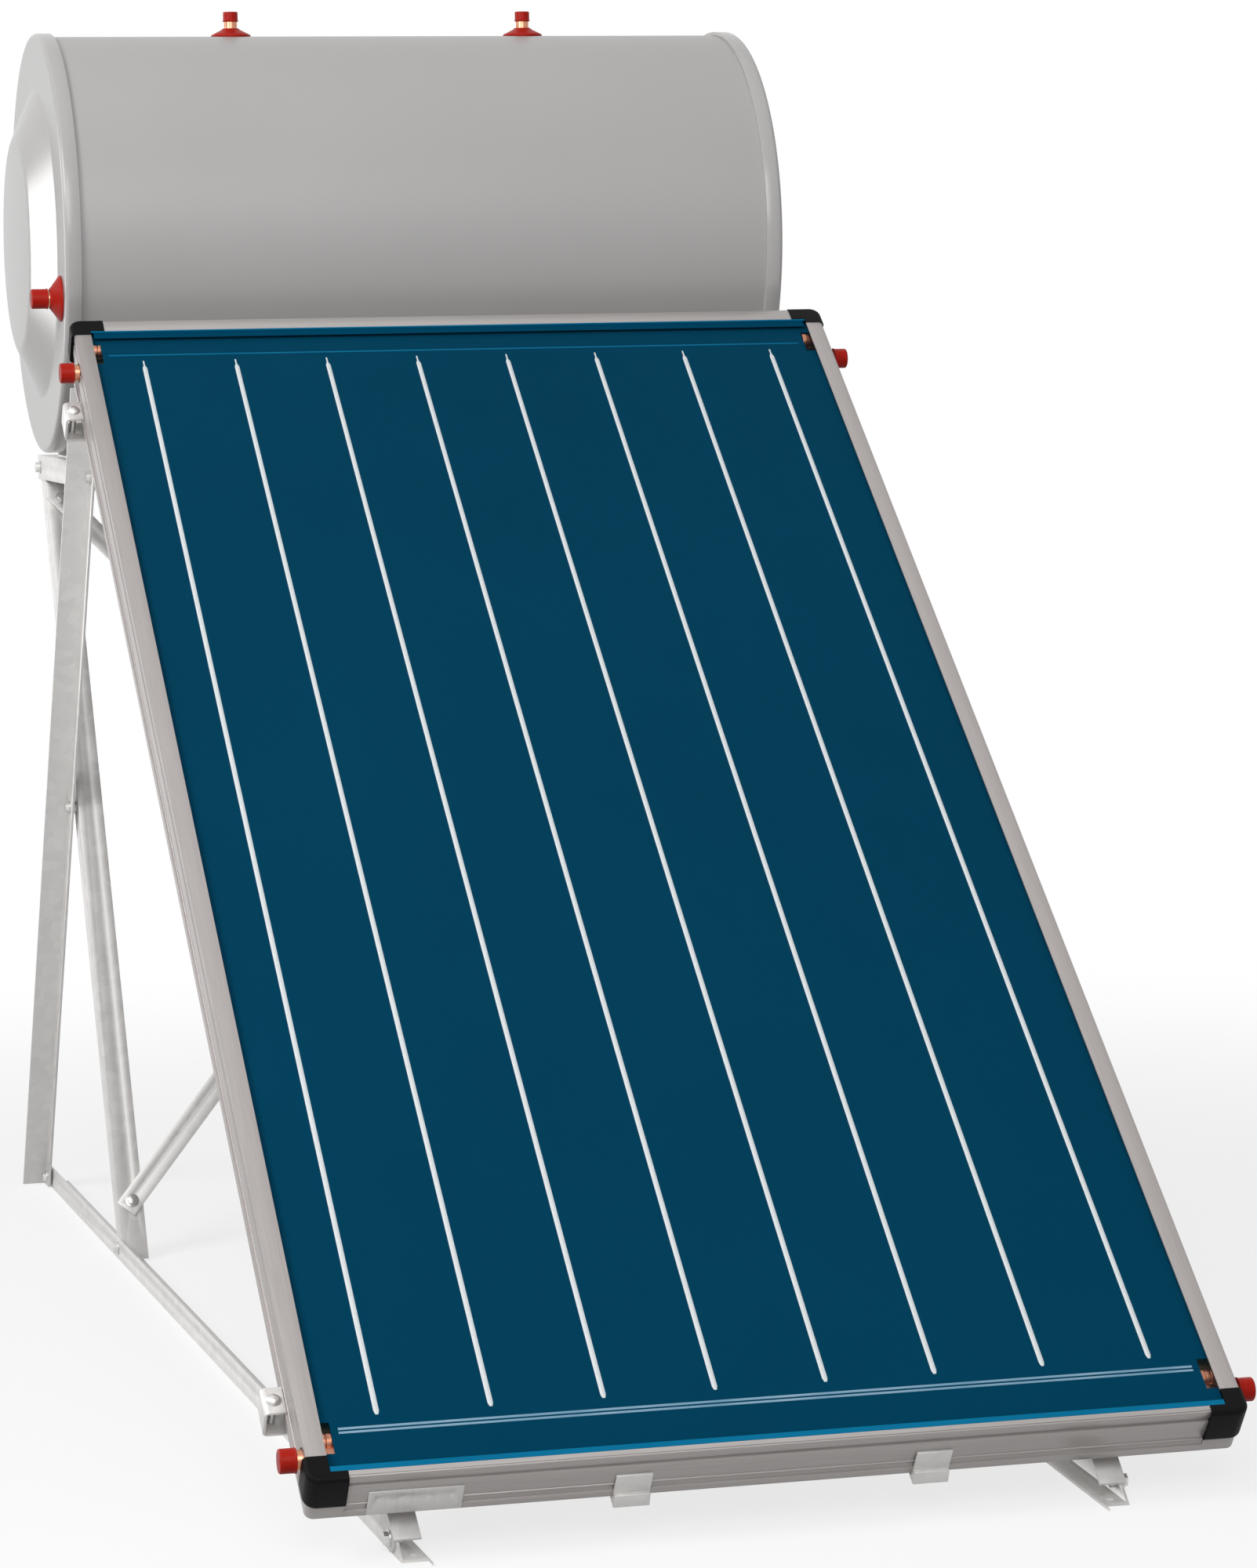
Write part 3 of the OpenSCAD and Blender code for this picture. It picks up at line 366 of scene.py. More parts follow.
def cast_magnesium():
    """Matt grey cast rod."""
    made, tree, shader, place = new_material("cast_magnesium")
    grain = add_node(tree, "ShaderNodeTexNoise",
                     {"Vector": place, "Scale": 1 / (3 * MM), "Detail": 4.0})
    finish_with(tree, shader, shade_between(tree, grain.outputs["Fac"], "#85888B", "#ACAFB2"),
                spread(tree, grain.outputs["Fac"], 0.5, 0.7), grain.outputs["Fac"], 0.2, 0.3)
    shader.inputs["Metallic"].default_value = 0.8
    return made


def mineral_wool():
    """Yellow-brown wool felt with fibres drawn 3 mm apart."""
    made, tree, shader, place = new_material("mineral_wool")
    fibre = add_node(tree, "ShaderNodeTexNoise",
                     {"Vector": place, "Scale": 1 / (3 * MM), "Detail": 6.0, "Distortion": 1.5})
    finish_with(tree, shader, shade_between(tree, fibre.outputs["Fac"], "#8E7B36", "#CDBA6A"),
                spread(tree, fibre.outputs["Fac"], 0.85, 1.0), fibre.outputs["Fac"], 1.5, 0.6)
    return made


def seen_directly(tree):
    """1 for rays from the camera, mirrored or let through, 0 for scattered light."""
    path = add_node(tree, "ShaderNodeLightPath").outputs
    seen = add_node(tree, "ShaderNodeMath",
                    {0: path["Is Camera Ray"], 1: path["Is Glossy Ray"]}, operation="MAXIMUM")
    seen = add_node(tree, "ShaderNodeMath",
                    {0: seen.outputs[0], 1: path["Is Transmission Ray"]}, operation="MAXIMUM")
    return seen.outputs[0]


def deselect_all():
    """Leaves edit mode and clears the selection."""
    if bpy.context.mode != "OBJECT":
        bpy.ops.object.mode_set(mode="OBJECT")
    bpy.ops.object.select_all(action="DESELECT")


def make_active(piece):
    """Selects one piece alone."""
    deselect_all()
    piece.select_set(True)
    bpy.context.view_layer.objects.active = piece


def smooth(piece, degrees=35):
    """Smooth shading over all but the sharper edges."""
    make_active(piece)
    bpy.ops.object.shade_smooth_by_angle(angle=math.radians(degrees))


def rounded_copy(node, edge_mm, degrees=35):
    """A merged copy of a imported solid, with its sharp edges rounded."""
    piece = bpy.data.objects.new(f"{node}_finished", frame["nodes"][node].data.copy())
    bpy.context.scene.collection.objects.link(piece)
    make_active(piece)
    bpy.ops.object.mode_set(mode="EDIT")
    bpy.ops.mesh.select_all(action="SELECT")
    bpy.ops.mesh.remove_doubles(threshold=0.002 * MM)
    bpy.ops.mesh.dissolve_limited(angle_limit=math.radians(0.3))
    bpy.ops.object.mode_set(mode="OBJECT")
    if edge_mm > 0:
        apply_modifier(piece, "BEVEL", width=edge_mm * MM, segments=2, limit_method="ANGLE",
                       angle_limit=math.radians(degrees))
    smooth(piece, degrees)
    return piece


def apply_modifier(piece, kind, **settings):
    """Adds a modifier with its settings and applies it."""
    make_active(piece)
    made = piece.modifiers.new(kind.lower(), kind)
    for name, value in settings.items():
        setattr(made, name, value)
    bpy.ops.object.modifier_apply(modifier=made.name)


def turned_shell(name, outline, wall=0.0, segments=160, degrees=30):
    """A shell turned about +Z: a circle extruded ring by ring along (radius, height) points in mm."""
    deselect_all()
    radius, height = outline[0]
    bpy.ops.mesh.primitive_circle_add(vertices=segments, radius=radius * MM,
                                      location=(0, 0, height * MM))
    piece = bpy.context.object
    piece.name = name
    bpy.ops.object.transform_apply(location=True)
    bpy.ops.object.mode_set(mode="EDIT")
    bpy.ops.mesh.select_all(action="SELECT")
    for next_radius, next_height in outline[1:]:
        rise = (0, 0, (next_height - height) * MM)
        bpy.ops.mesh.extrude_edges_move(TRANSFORM_OT_translate={"value": rise})
        if next_radius == 0:
            bpy.ops.mesh.merge(type="CENTER")
            break
        scale = next_radius / radius
        bpy.ops.transform.resize(value=(scale, scale, 1), center_override=(0, 0, 0))
        radius, height = next_radius, next_height
    bpy.ops.mesh.select_all(action="SELECT")
    bpy.ops.mesh.remove_doubles(threshold=0.001 * MM)
    bpy.ops.mesh.normals_make_consistent(inside=False)
    bpy.ops.object.mode_set(mode="OBJECT")
    if wall:
        apply_modifier(piece, "SOLIDIFY", thickness=wall * MM, offset=-1.0)
    smooth(piece, degrees)
    return piece


def round_bend(centre, radius, start, end, steps=6):
    """Points of a bend about a centre, from one angle to another in degrees."""
    angles = [math.radians(start + (end - start) * i / steps) for i in range(steps + 1)]
    return [(centre[0] + radius * math.cos(a), centre[1] + radius * math.sin(a)) for a in angles]


def stand_at(piece, place, direction):
    """Sets a piece turned about +Z at a place, along a direction, with its place in its mesh."""
    make_active(piece)
    piece.rotation_euler = Vector(direction).to_track_quat("Z", "Y").to_euler()
    piece.location = place
    bpy.ops.object.transform_apply(location=True, rotation=True, scale=True)
    return piece


def on_collector(piece, across, along, out):
    """Lays a piece on the tilted collector, with its place in its mesh."""
    settings = bpy.context.scene.heater
    turn = Matrix.Rotation(settings.collector_tilt, 4, "X")
    piece.matrix_world = Matrix.Translation(settings.collector_foot) @ turn @ Matrix.Translation(
        Vector((across, along, out)) * MM) @ piece.matrix_world
    make_active(piece)
    bpy.ops.object.transform_apply(location=True, rotation=True, scale=True)
    return piece


def add_detail(piece, material):
    """Hands a piece that has no solid of its own its material, the root body and a material slot."""
    piece.data.materials.clear()
    piece.data.materials.append(material)
    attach(piece, ROOT_BODY)


def dress(piece, node, material):
    """Hands a finished piece its material and the body of the solid that it stands for, and hides that
    solid.
    """
    piece.data.materials.clear()
    piece.data.materials.append(material)
    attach(piece, frame["nodes"][node]["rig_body"])
    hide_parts(node)


def paint_node(node, material):
    """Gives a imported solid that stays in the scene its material."""
    slots = frame["nodes"][node].data.materials
    slots.clear()
    slots.append(material)


class HeaterSettings(bpy.types.PropertyGroup):
    """Sizes that the finishing steps use."""

    angle_edge: bpy.props.FloatProperty(
        name="Angle edge", description="Rounding of the edges of the steel angles, mm",
        default=0.5, min=0.1, max=1.2)
    profile_edge: bpy.props.FloatProperty(
        name="Profile edge", description="Rounding of the edges of the frame profiles, mm",
        default=0.35, min=0.1, max=0.6)
    corner_edge: bpy.props.FloatProperty(
        name="Corner edge", description="Rounding of the outer edges of the corner caps, mm",
        default=6.0, min=1.0, max=6.5)
    seam_rise: bpy.props.FloatProperty(
        name="Seam rise", description="Height of a weld bead over the absorber, mm",
        default=0.8, min=0.2, max=0.9)
    seam_width: bpy.props.FloatProperty(
        name="Seam width", description="Width of a weld bead, mm", default=6.0, min=3.0, max=8.0)
    collector_tilt: bpy.props.FloatProperty(
        name="Tilt", description="Slope of the collector",
        default=math.radians(36.5), subtype="ANGLE")
    collector_foot: bpy.props.FloatVectorProperty(
        name="Foot", description="Middle of the lower front edge of the collector", size=3,
        default=(0.00775, -1.159736, 0.101), subtype="TRANSLATION")
    camera_lens: bpy.props.FloatProperty(
        name="Lens", description="Focal length on a 36 mm sensor", default=110.65, unit="CAMERA")
    floor_size: bpy.props.FloatProperty(
        name="Floor", description="Side of the floor", default=60.0, unit="LENGTH")
    floor_colour: bpy.props.FloatVectorProperty(
        name="Floor colour", description="Colour of the studio floor", size=3,
        default=linear("#FAFAFA")[:3], subtype="COLOR")


class HEATER_OT_stand(bpy.types.Operator):
    """Round and finish the angles of the stand and the pieces that hold the collector"""

    bl_idname = "heater.stand"
    bl_label = "Stand"

    def execute(self, context):
        settings = context.scene.heater
        zinc = hot_dip_galvanised_steel()
        for node in ANGLE_NODES:
            dress(rounded_copy(node, settings.angle_edge), node, zinc)
        for name, across in HOOK_PLACES.items():
            add_detail(self.hook_lip(name, across), zinc)
        plated = bright_zinc_steel()
        for node in FASTENER_NODES:
            dress(rounded_copy(node, settings.angle_edge), node, plated)
        return {"FINISHED"}

    def hook_lip(self, name, across):
        """The bent-out lip along the lower edge of a hook."""
        wide, thick, high, lean, edge = 40.0, 6.0, 16.0, -12.0, 0.8
        along, out = -6.0, -65.0
        deselect_all()
        bpy.ops.mesh.primitive_cube_add(size=1, rotation=(math.radians(lean), 0, 0))
        lip = bpy.context.object
        lip.name = name
        lip.scale = (wide * MM, thick * MM, high * MM)
        bpy.ops.object.transform_apply(rotation=True, scale=True)
        apply_modifier(lip, "BEVEL", width=edge * MM, segments=3)
        smooth(lip, 40)
        return on_collector(lip, across, along, out)


class HEATER_OT_tank(bpy.types.Operator):
    """Finish the jacket and the end caps of the tank"""

    bl_idname = "heater.tank"
    bl_label = "Tank"

    def execute(self, context):
        low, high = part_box("tank_jacket")
        axis = (low + high) / 2
        dress(self.jacket(axis, high), "tank_jacket", coil_coated_steel())
        cap_wall = 2.5
        moulding = moulded_asa()
        for node, side in (("end_cap_left", -1), ("end_cap_right", 1)):
            cap = turned_shell(f"{node}_finished", self.cap_outline(), cap_wall)
            dress(stand_at(cap, axis, (side, 0, 0)), node, moulding)
        return {"FINISHED"}

    def jacket(self, axis, high):
        """The rolled jacket, with a bore for each top pipe, between two rings under its rosette."""
        wall, bore, ring_reach = 1.0, 9.2, 14.0
        radius, half = (high.z - axis.z) / MM, (high.x - axis.x) / MM
        places = []
        for node in ("hot_water_pipe", "cold_water_pipe"):
            pipe_low, pipe_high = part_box(node)
            places.append((pipe_low.x + pipe_high.x) / 2)
        rings = [(place - axis.x) / MM + side * ring_reach for place in places for side in (-1, 1)]
        outline = [(radius, height) for height in [-half] + rings + [half]]
        piece = stand_at(turned_shell("tank_jacket_finished", outline, wall), axis, (1, 0, 0))
        for place in places:
            deselect_all()
            bpy.ops.mesh.primitive_cylinder_add(
                vertices=48, radius=bore * MM, depth=radius / 5 * MM,
                location=(place, axis.y, high.z))
            drill = bpy.context.object
            apply_modifier(piece, "BOOLEAN", operation="DIFFERENCE", object=drill, solver="EXACT")
            bpy.data.objects.remove(drill)
        smooth(piece, 30)
        return piece

    def cap_outline(self):
        """Half section of an end cap: rim, shoulder, flat ring, dome side and crown, to the axis."""
        mouth, ring, rim, inner = 477.0, 500.0, 290.9, 286.3
        shoulder, foot, dome, lean = 6.0, 8.0, 36.0, 23.5
        ring_outer, ring_inner, foot_at, dome_at = 276.0, 226.0, 216.0, 138.0
        crown = [(110, 531.2), (80, 532.1), (40, 532.7), (0, 533.0)]
        return ([(inner, mouth), (rim - 1.0, mouth), (rim - 0.3, mouth + 0.3), (rim, mouth + 1.0)]
                + round_bend((rim - shoulder, ring - shoulder), shoulder, 0, 90)
                + [(ring_outer, ring), (ring_inner, ring)]
                + round_bend((foot_at, ring + foot), foot, -90, -90 - lean)
                + round_bend((dome_at, ring - shoulder), dome, 90 - lean, 90, 10)
                + crown)


class HEATER_OT_pipes(bpy.types.Operator):
    """Finish the pipes, headers, rosettes and plugs"""

    bl_idname = "heater.pipes"
    bl_label = "Pipes and plugs"

    def execute(self, context):
        pipe_edge, plug_edge, rosette_edge = 0.2, 0.3, 0.5
        copper = drawn_copper()
        for node in PIPE_NODES:
            dress(rounded_copy(node, pipe_edge), node, copper)
        paint_node("riser_tubes", copper)
        collar = self.notch_collar()
        for name, (across, along) in COLLAR_PLACES.items():
            piece = bpy.data.objects.new(name, collar.data.copy())
            context.scene.collection.objects.link(piece)
            on_collector(piece, across, along, HEADER_OUT)
            add_detail(piece, copper)
        bpy.data.objects.remove(collar)
        red = moulded_polyethylene()
        dress(rounded_copy("pipe_rosettes", rosette_edge), "pipe_rosettes", red)
        for node in PLUG_NODES:
            dress(rounded_copy(node, plug_edge), node, red)
        grommets = rounded_copy("header_grommets", plug_edge)
        dress(grommets, "header_grommets", grommet_rubber())
        return {"FINISHED"}

    def notch_collar(self):
        """A short copper collar with two grooves, as in the notches at the ends of the absorber."""
        outline = [(7.5, -9), (10, -9), (10.5, -8.5), (10.5, -3.5), (9.6, -2.8), (9.6, -2.2),
                   (10.5, -1.5), (10.5, 3.5), (9.6, 4.2), (9.6, 4.8), (10.5, 5.5), (10.5, 8.5),
                   (10, 9), (7.5, 9)]
        collar = turned_shell("notch_collar", outline, segments=48)
        return stand_at(collar, (0, 0, 0), (1, 0, 0))


class HEATER_OT_collector(bpy.types.Operator):
    """Finish the frame, the corners and the outside of the collector"""

    bl_idname = "heater.collector"
    bl_label = "Collector frame"

    def execute(self, context):
        settings = context.scene.heater
        side = extruded_aluminium("side_extrusion", "#A39D9B", "#B5AFAD", (1.0, 0.02, 0.02))
        end = extruded_aluminium("end_extrusion", "#A39F9D", "#B9B4B2", (0.02, 1.0, 1.0))
        for node in PROFILE_NODES:
            metal = side if node in ("profile_left", "profile_right") else end
            dress(rounded_copy(node, settings.profile_edge), node, metal)
        black = moulded_black_polyamide()
        for node in CORNER_NODES:
            dress(self.corner_cap(node, settings.corner_edge), node, black)
            add_detail(self.corner_foot(node, settings), end)
        bright = extruded_aluminium("rolled_plate", "#CCCAC8", "#DEDCDA", (1.0, 0.02, 0.02))
        dress(self.vent_plate(), "vent_plate", bright)
        paint_node("back_sheet", end)
        return {"FINISHED"}

    def block_at(self, corner, inwards, low, high):
        """A cube between two points, which are measured inwards and out from a frame corner."""
        deselect_all()
        bpy.ops.mesh.primitive_cube_add(size=1)
        made = bpy.context.object
        made.scale = [(high[i] - low[i]) * MM for i in range(3)]
        made.location = [(corner[i] + inwards[i] * (low[i] + high[i]) / 2) * MM for i in range(3)]
        bpy.ops.object.transform_apply(location=True, scale=True)
        return made

    def corner_cap(self, node, edge):
        """A moulded cap over a frame corner: a soft block, hollowed for the glass and the frame."""
        top, right = "upper" in node, node.endswith("right")
        wide, long, deep, proud, face = 41.0, 30.0, 47.0, 4.0, 0.6
        side_lip, end_lip = 22.0, 22.0 if top else 8.0
        lip, wall, far, plan_round = 2.0, 3.0, 60.0, 15.0
        half = COLLECTOR_WIDTH / 2
        corner = (half if right else -half, COLLECTOR_LENGTH if top else 0.0, 0.0)
        inwards = (-1 if right else 1, -1 if top else 1, 1)

        def from_corner(at):
            """A point of the mesh as millimetres inwards and out from the corner."""
            return [(at[i] / MM - corner[i]) * inwards[i] for i in range(3)]

        def upright(a, b):
            """True for the outer upright edge."""
            return all(max(from_corner(at)[:2]) < -proud + 0.1 for at in (a, b))

        piece = self.block_at(corner, inwards, (-proud, -proud, -deep), (wide, long, face))
        piece.name = f"{node}_finished"
        self.round_edges(piece, plan_round, upright)
        for level in (face, -deep):
            def outer_rim(a, b):
                """True for an edge of the outer sides at this level."""
                across, along, _ = from_corner((a + b) / 2)
                flat = all(abs(at.z / MM - level) < 0.1 for at in (a, b))
                return flat and across < wide - 1 and along < long - 1
            self.round_edges(piece, edge, outer_rim)
        over_glass = ((side_lip, end_lip, -lip - 0.1), (far, far, 1.0))
        over_frame = ((wall, wall, -far), (far, far, -lip))
        for low, high in (over_glass, over_frame):
            press = self.block_at(corner, inwards, low, high)
            apply_modifier(piece, "BOOLEAN", operation="DIFFERENCE", object=press, solver="EXACT")
            bpy.data.objects.remove(press)
        smooth(piece, 40)
        return on_collector(piece, 0, 0, 0)

    def round_edges(self, piece, radius, wanted):
        """Bevels the edges of a piece whose two ends a test wants."""
        make_active(piece)
        points = piece.data.vertices
        for face in piece.data.polygons:
            face.select = False
        for point in points:
            point.select = False
        for edge in piece.data.edges:
            edge.select = bool(wanted(*(points[i].co for i in edge.vertices)))
        bpy.ops.object.mode_set(mode="EDIT")
        bpy.ops.mesh.select_mode(type="EDGE")
        bpy.ops.mesh.bevel(offset=radius * MM, segments=8, affect="EDGES")
        bpy.ops.object.mode_set(mode="OBJECT")

    def corner_foot(self, node, settings):
        """The frame's lower edge below a corner cap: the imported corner, cut off under the cap."""
        cut = -46.5
        tilt = settings.collector_tilt
        normal = Vector((0, -math.sin(tilt), math.cos(tilt)))
        level = Vector(settings.collector_foot) + normal * cut * MM
        foot = rounded_copy(node, settings.profile_edge)
        foot.name = f"{node}_foot"
        make_active(foot)
        bpy.ops.object.mode_set(mode="EDIT")
        bpy.ops.mesh.select_all(action="SELECT")
        bpy.ops.mesh.bisect(plane_co=level, plane_no=normal, use_fill=True, clear_outer=True)
        bpy.ops.object.mode_set(mode="OBJECT")
        smooth(foot, 35)
        return foot

    def vent_plate(self):
        """The plate on the lower profile: a thin sheet with four round dents pressed into it."""
        wide, high, thick, edge = 102.0, 36.0, 1.5, 0.4
        dent, ball, dent_rise = 1.3, 9.0, 6.48
        across_frame, out = -401.0, -45.0
        deselect_all()
        bpy.ops.mesh.primitive_cube_add(size=1)
        plate = bpy.context.object
        plate.name = "vent_plate_finished"
        plate.scale = (wide * MM, thick * MM, high * MM)
        bpy.ops.object.transform_apply(scale=True)
        apply_modifier(plate, "BEVEL", width=edge * MM, segments=2)
        for across in (-38.5, -14.0, 14.0, 38.5):
            deselect_all()
            bpy.ops.mesh.primitive_uv_sphere_add(
                segments=48, ring_count=24, radius=ball * MM,
                location=(across * MM, (-thick / 2 + dent - ball) * MM, dent_rise * MM))
            press = bpy.context.object
            apply_modifier(plate, "BOOLEAN", operation="DIFFERENCE", object=press, solver="EXACT")
            bpy.data.objects.remove(press)
        smooth(plate, 40)
        return on_collector(plate, across_frame, -thick / 2, out)


class HEATER_OT_absorber(bpy.types.Operator):
    """Finish the absorber sheet, its weld beads and the glass over it"""

    bl_idname = "heater.absorber"
    bl_label = "Absorber and glass"

    def execute(self, context):
        blue = selective_coating()
        dress(rounded_copy("absorber_sheet", 0.0, degrees=20), "absorber_sheet", blue)
        dress(self.weld_beads(context.scene.heater), "weld_seams", rolled_weld_bead())
        paint_node("glass_pane", low_iron_glass())
        # The glass strips and the upper fold ridge take the lighter blue: painted light on their bent
        # edges.
        bent = painted_lit_coating()
        paint_node("glass_strips", bent)
        # The lower fold ridges take a painted highlight.
        for name, along, apart, wide in FOLD_RIDGES:
            add_detail(self.fold_ridges(name, along, apart, wide),
                       bright_fold() if apart else bent)
        # Painted light: a band of the sheet's blue on the glass hides the upper lip's shadow.
        add_detail(self.cover_lip_shadow(), blue)
        return {"FINISHED"}

    def cover_lip_shadow(self):
        """Blue band along the upper edge of the glass, in the sheet's own colour, laid over the shadow
        that the upper lip casts on the sheet: painted light that hides that shadow.
        """
        wide, high, thick = 980.0, 12.0, 0.2
        along, out = 1970.0, -2.1
        deselect_all()
        bpy.ops.mesh.primitive_cube_add(size=1)
        band = bpy.context.object
        band.name = "lip_shadow_cover_band"
        band.scale = (wide * MM, high * MM, thick * MM)
        bpy.ops.object.transform_apply(scale=True)
        return on_collector(band, 0, along, out)

    def fold_ridges(self, name, along, apart, wide):
        """Half-round ridges where the sheet is folded: a tube sunk in the sheet, or two."""
        length, rise = 950.0, 0.45
        deselect_all()
        bpy.ops.mesh.primitive_cylinder_add(
            vertices=24, radius=wide / 2 * MM, depth=length * MM, rotation=(0, math.pi / 2, 0))
        ridge = bpy.context.object
        ridge.name = name
        bpy.ops.object.transform_apply(rotation=True)
        ridge.scale.z = 2 * rise / wide
        bpy.ops.object.transform_apply(scale=True)
        if apart:
            bpy.ops.object.mode_set(mode="EDIT")
            bpy.ops.mesh.select_all(action="SELECT")
            bpy.ops.transform.translate(value=(0, -apart * MM, 0))
            beside = (0, 2 * apart * MM, 0)
            bpy.ops.mesh.duplicate_move(TRANSFORM_OT_translate={"value": beside})
            bpy.ops.object.mode_set(mode="OBJECT")
        smooth(ridge, 50)
        return on_collector(ridge, 0, along, SHEET_TOP)

    def weld_beads(self, settings):
        """One crowned, rippled bead with a narrow run-out, copied over each riser tube."""
        length, tail, ripple, sink = 1833.0, 14.0, 0.12, 0.2
        columns, rows = 6, 366
        crown = ((0.9, 0.5), (0.5, 0.35), (0.2, 0.15))
        deselect_all()
        bpy.ops.mesh.primitive_grid_add(x_subdivisions=columns, y_subdivisions=rows, size=1)
        bead = bpy.context.object
        bead.name = "weld_seams_finished"
        bead.scale = (settings.seam_width * MM, length * MM, 1)
        bpy.ops.object.transform_apply(scale=True)
        half_wide, half_long = settings.seam_width / 2 * MM, length / 2 * MM
        pitch = length / rows * MM
        for reach, share in crown:
            self.pick(bead, lambda at: abs(at.x) < half_wide * reach)
            bpy.ops.transform.translate(value=(0, 0, settings.seam_rise * share * MM))
        self.pick(bead, lambda at: abs(at.x) < half_wide * crown[0][0]
                  and round((at.y + half_long) / pitch) % 2)
        bpy.ops.transform.translate(value=(0, 0, -ripple * MM))
        self.pick(bead, lambda at: at.y > half_long - tail * MM)
        bpy.ops.transform.resize(value=(0.35, 1, 0.6), center_override=(0, 0, 0))
        self.pick(bead, lambda at: at.y < -half_long + pitch * 0.5)
        bpy.ops.transform.resize(value=(0.5, 1, 0.3), center_override=(0, 0, 0))
        bpy.ops.object.mode_set(mode="OBJECT")
        low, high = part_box("weld_seams")
        first = low.x + half_wide
        step = (high.x - low.x - 2 * half_wide) / (WELD_COUNT - 1)
        tilt = settings.collector_tilt
        middle = (low + high) / 2
        down = Vector((0, math.sin(tilt), -math.cos(tilt))) * sink * MM
        bead.rotation_euler = (tilt, 0, 0)
        bead.location = Vector((first, middle.y, middle.z)) + down
        make_active(bead)
        bpy.ops.object.transform_apply(location=True, rotation=True)
        bpy.ops.object.mode_set(mode="EDIT")
        bpy.ops.mesh.select_all(action="SELECT")
        for _ in range(WELD_COUNT - 1):
            bpy.ops.mesh.duplicate_move(TRANSFORM_OT_translate={"value": (step, 0, 0)})
        bpy.ops.object.mode_set(mode="OBJECT")
        smooth(bead, 60)
        return bead

    def pick(self, piece, wanted):
        """Selects the points of a piece that a test wants, in edit mode."""
        make_active(piece)
        for point in piece.data.vertices:
            point.select = bool(wanted(point.co))
        for edge in piece.data.edges:
            edge.select = False
        for face in piece.data.polygons:
            face.select = False
        bpy.ops.object.mode_set(mode="EDIT")
        bpy.ops.mesh.select_mode(type="VERT")


class HEATER_OT_inside(bpy.types.Operator):
    """Finish the hidden pieces of the tank and the collector"""

    bl_idname = "heater.inside"
    bl_label = "Inside"

    def execute(self, context):
        enamel = enamelled_steel()
        paint_node("vessel", enamel)
        paint_node("heating_mantle", enamel)
        paint_node("foam_insulation", polyurethane_foam())
        paint_node("anode_rod", cast_magnesium())
        paint_node("wool_insulation", mineral_wool())
        return {"FINISHED"}


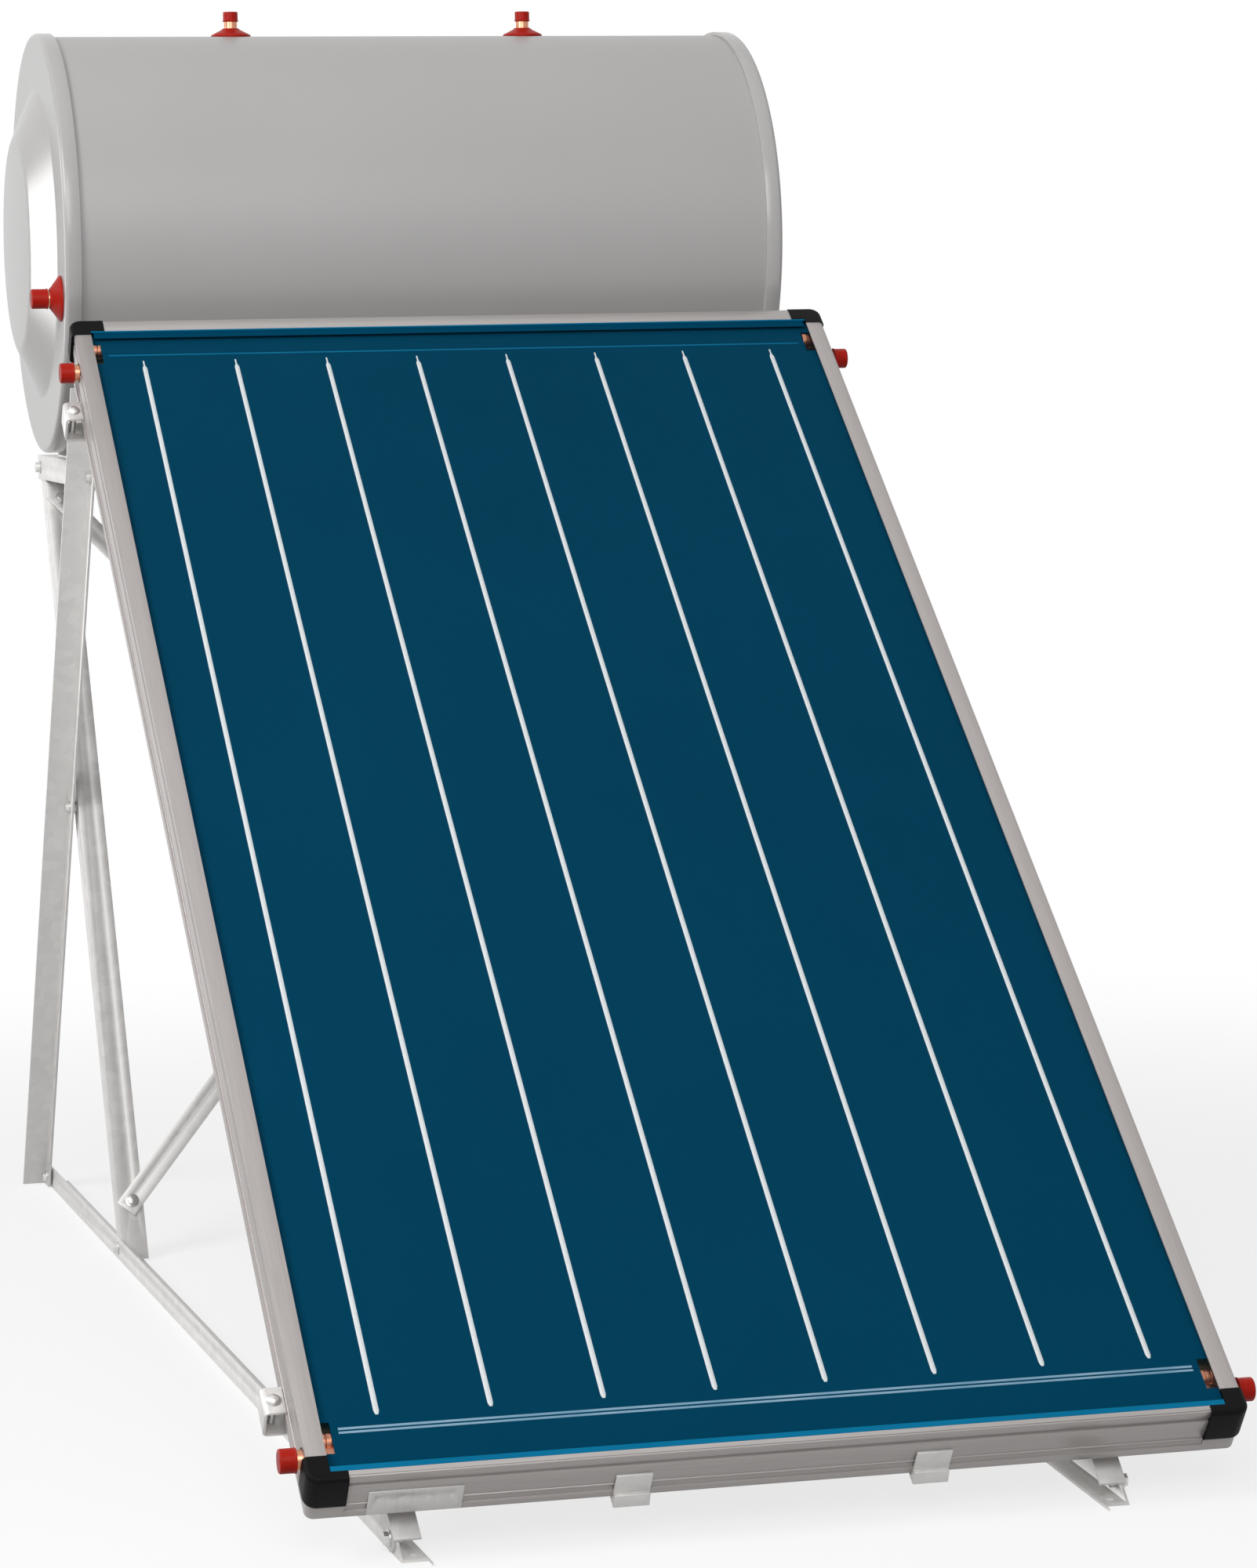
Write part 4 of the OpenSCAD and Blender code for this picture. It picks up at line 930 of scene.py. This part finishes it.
class HEATER_OT_stage(bpy.types.Operator):
    """Set the floor, the studio light and the camera"""

    bl_idname = "heater.stage"
    bl_label = "Stage"

    def execute(self, context):
        settings = context.scene.heater
        self.lay_floor(settings)
        self.hang_lamps()
        self.set_world(context.scene)
        self.set_camera(context.scene, settings)
        context.scene.view_settings.view_transform = "Standard"
        return {"FINISHED"}

    def lay_floor(self, settings):
        """A pale floor that keeps the shadow near the object and fades to white away from it."""
        scattered, shadow_near, shadow_far, white_share = "#969696", 1.2, 3.5, 0.75
        deselect_all()
        bpy.ops.mesh.primitive_plane_add(size=settings.floor_size)
        floor = bpy.context.object
        floor.name = "studio_floor"
        made = bpy.data.materials.new("studio_floor_paint")
        made.use_nodes = True
        tree = made.node_tree
        tree.nodes.clear()
        seen = seen_directly(tree)
        pale = list(settings.floor_colour) + [1.0]
        colour = add_node(tree, "ShaderNodeMix",
                          {"Factor": seen, "A": linear(scattered), "B": pale}, data_type="RGBA")
        paint = add_node(tree, "ShaderNodeBsdfDiffuse", {"Color": colour.outputs["Result"]})
        lit = add_node(tree, "ShaderNodeEmission", {"Color": (1, 1, 1, 1), "Strength": 1.0})
        place = add_node(tree, "ShaderNodeTexCoord").outputs["Object"]
        away = add_node(tree, "ShaderNodeVectorMath", {0: place}, operation="LENGTH")
        fade = add_node(tree, "ShaderNodeMapRange",
                        {"Value": away.outputs["Value"], "From Min": shadow_near, "From Max": shadow_far,
                         "To Min": white_share}, interpolation_type="SMOOTHSTEP")
        share = add_node(tree, "ShaderNodeMath",
                         {0: fade.outputs["Result"], 1: seen}, operation="MULTIPLY")
        both = add_node(tree, "ShaderNodeMixShader",
                        {0: share.outputs[0], 1: paint.outputs["BSDF"], 2: lit.outputs["Emission"]})
        add_node(tree, "ShaderNodeOutputMaterial", {"Surface": both.outputs["Shader"]})
        floor.data.materials.append(made)

    def hang_lamps(self):
        """Soft lamps, and a strip that only shows as a reflection in the left end cap."""
        for name, place, aim, wide, tall, watts, scatters in LAMPS:
            deselect_all()
            bpy.ops.object.light_add(type="AREA", location=place)
            lamp = bpy.context.object
            lamp.name = name
            lamp.data.shape = "RECTANGLE"
            lamp.data.size = wide
            lamp.data.size_y = tall
            lamp.data.energy = watts
            lamp.rotation_euler = (Vector(aim) - Vector(place)).to_track_quat("-Z", "Y").to_euler()
            lamp.visible_diffuse = scatters

    def set_world(self, scene):
        """A white surround that lights the object only weakly."""
        fill, white = 0.28, 1.0
        scene.world = bpy.data.worlds.new("studio")
        scene.world.use_nodes = True
        tree = scene.world.node_tree
        tree.nodes.clear()
        strength = spread(tree, seen_directly(tree), fill, white)
        sky = add_node(tree, "ShaderNodeBackground", {"Color": (1, 1, 1, 1), "Strength": strength})
        add_node(tree, "ShaderNodeOutputWorld", {"Surface": sky.outputs["Background"]})

    def set_camera(self, scene, settings):
        """The camera at the photo's view."""
        deselect_all()
        bpy.ops.object.camera_add()
        camera = bpy.context.object
        camera.name = "photo_camera"
        right, up = Vector(CAMERA_RIGHT), Vector(CAMERA_UP)
        turn = Matrix((right, up, right.cross(up))).transposed().to_4x4()
        camera.matrix_world = Matrix.Translation(CAMERA_PLACE) @ turn
        camera.data.sensor_width = 36.0
        camera.data.sensor_fit = "AUTO"
        camera.data.lens = settings.camera_lens
        scene.camera = camera


class HEATER_PT_panel(bpy.types.Panel):
    """Lists the finishing steps and their sizes"""

    bl_idname = "HEATER_PT_panel"
    bl_label = "Solar water heater"
    bl_space_type = "VIEW_3D"
    bl_region_type = "UI"
    bl_category = "Heater"

    def draw(self, context):
        for name in HeaterSettings.__annotations__:
            self.layout.prop(context.scene.heater, name)
        for step in STEPS:
            self.layout.operator(step.bl_idname)


STEPS = (
    HEATER_OT_stand, HEATER_OT_tank, HEATER_OT_pipes, HEATER_OT_collector,
    HEATER_OT_absorber, HEATER_OT_inside, HEATER_OT_stage,
)
CLASSES = (HeaterSettings,) + STEPS + (HEATER_PT_panel,)


def register():
    for each in CLASSES:
        bpy.utils.register_class(each)
    bpy.types.Scene.heater = bpy.props.PointerProperty(type=HeaterSettings)


def unregister():
    del bpy.types.Scene.heater
    for each in reversed(CLASSES):
        bpy.utils.unregister_class(each)


def main():
    register()
    bpy.ops.heater.stand()
    bpy.ops.heater.tank()
    bpy.ops.heater.pipes()
    bpy.ops.heater.collector()
    bpy.ops.heater.absorber()
    bpy.ops.heater.inside()
    bpy.ops.heater.stage()


if __name__ == "__main__":
    main()
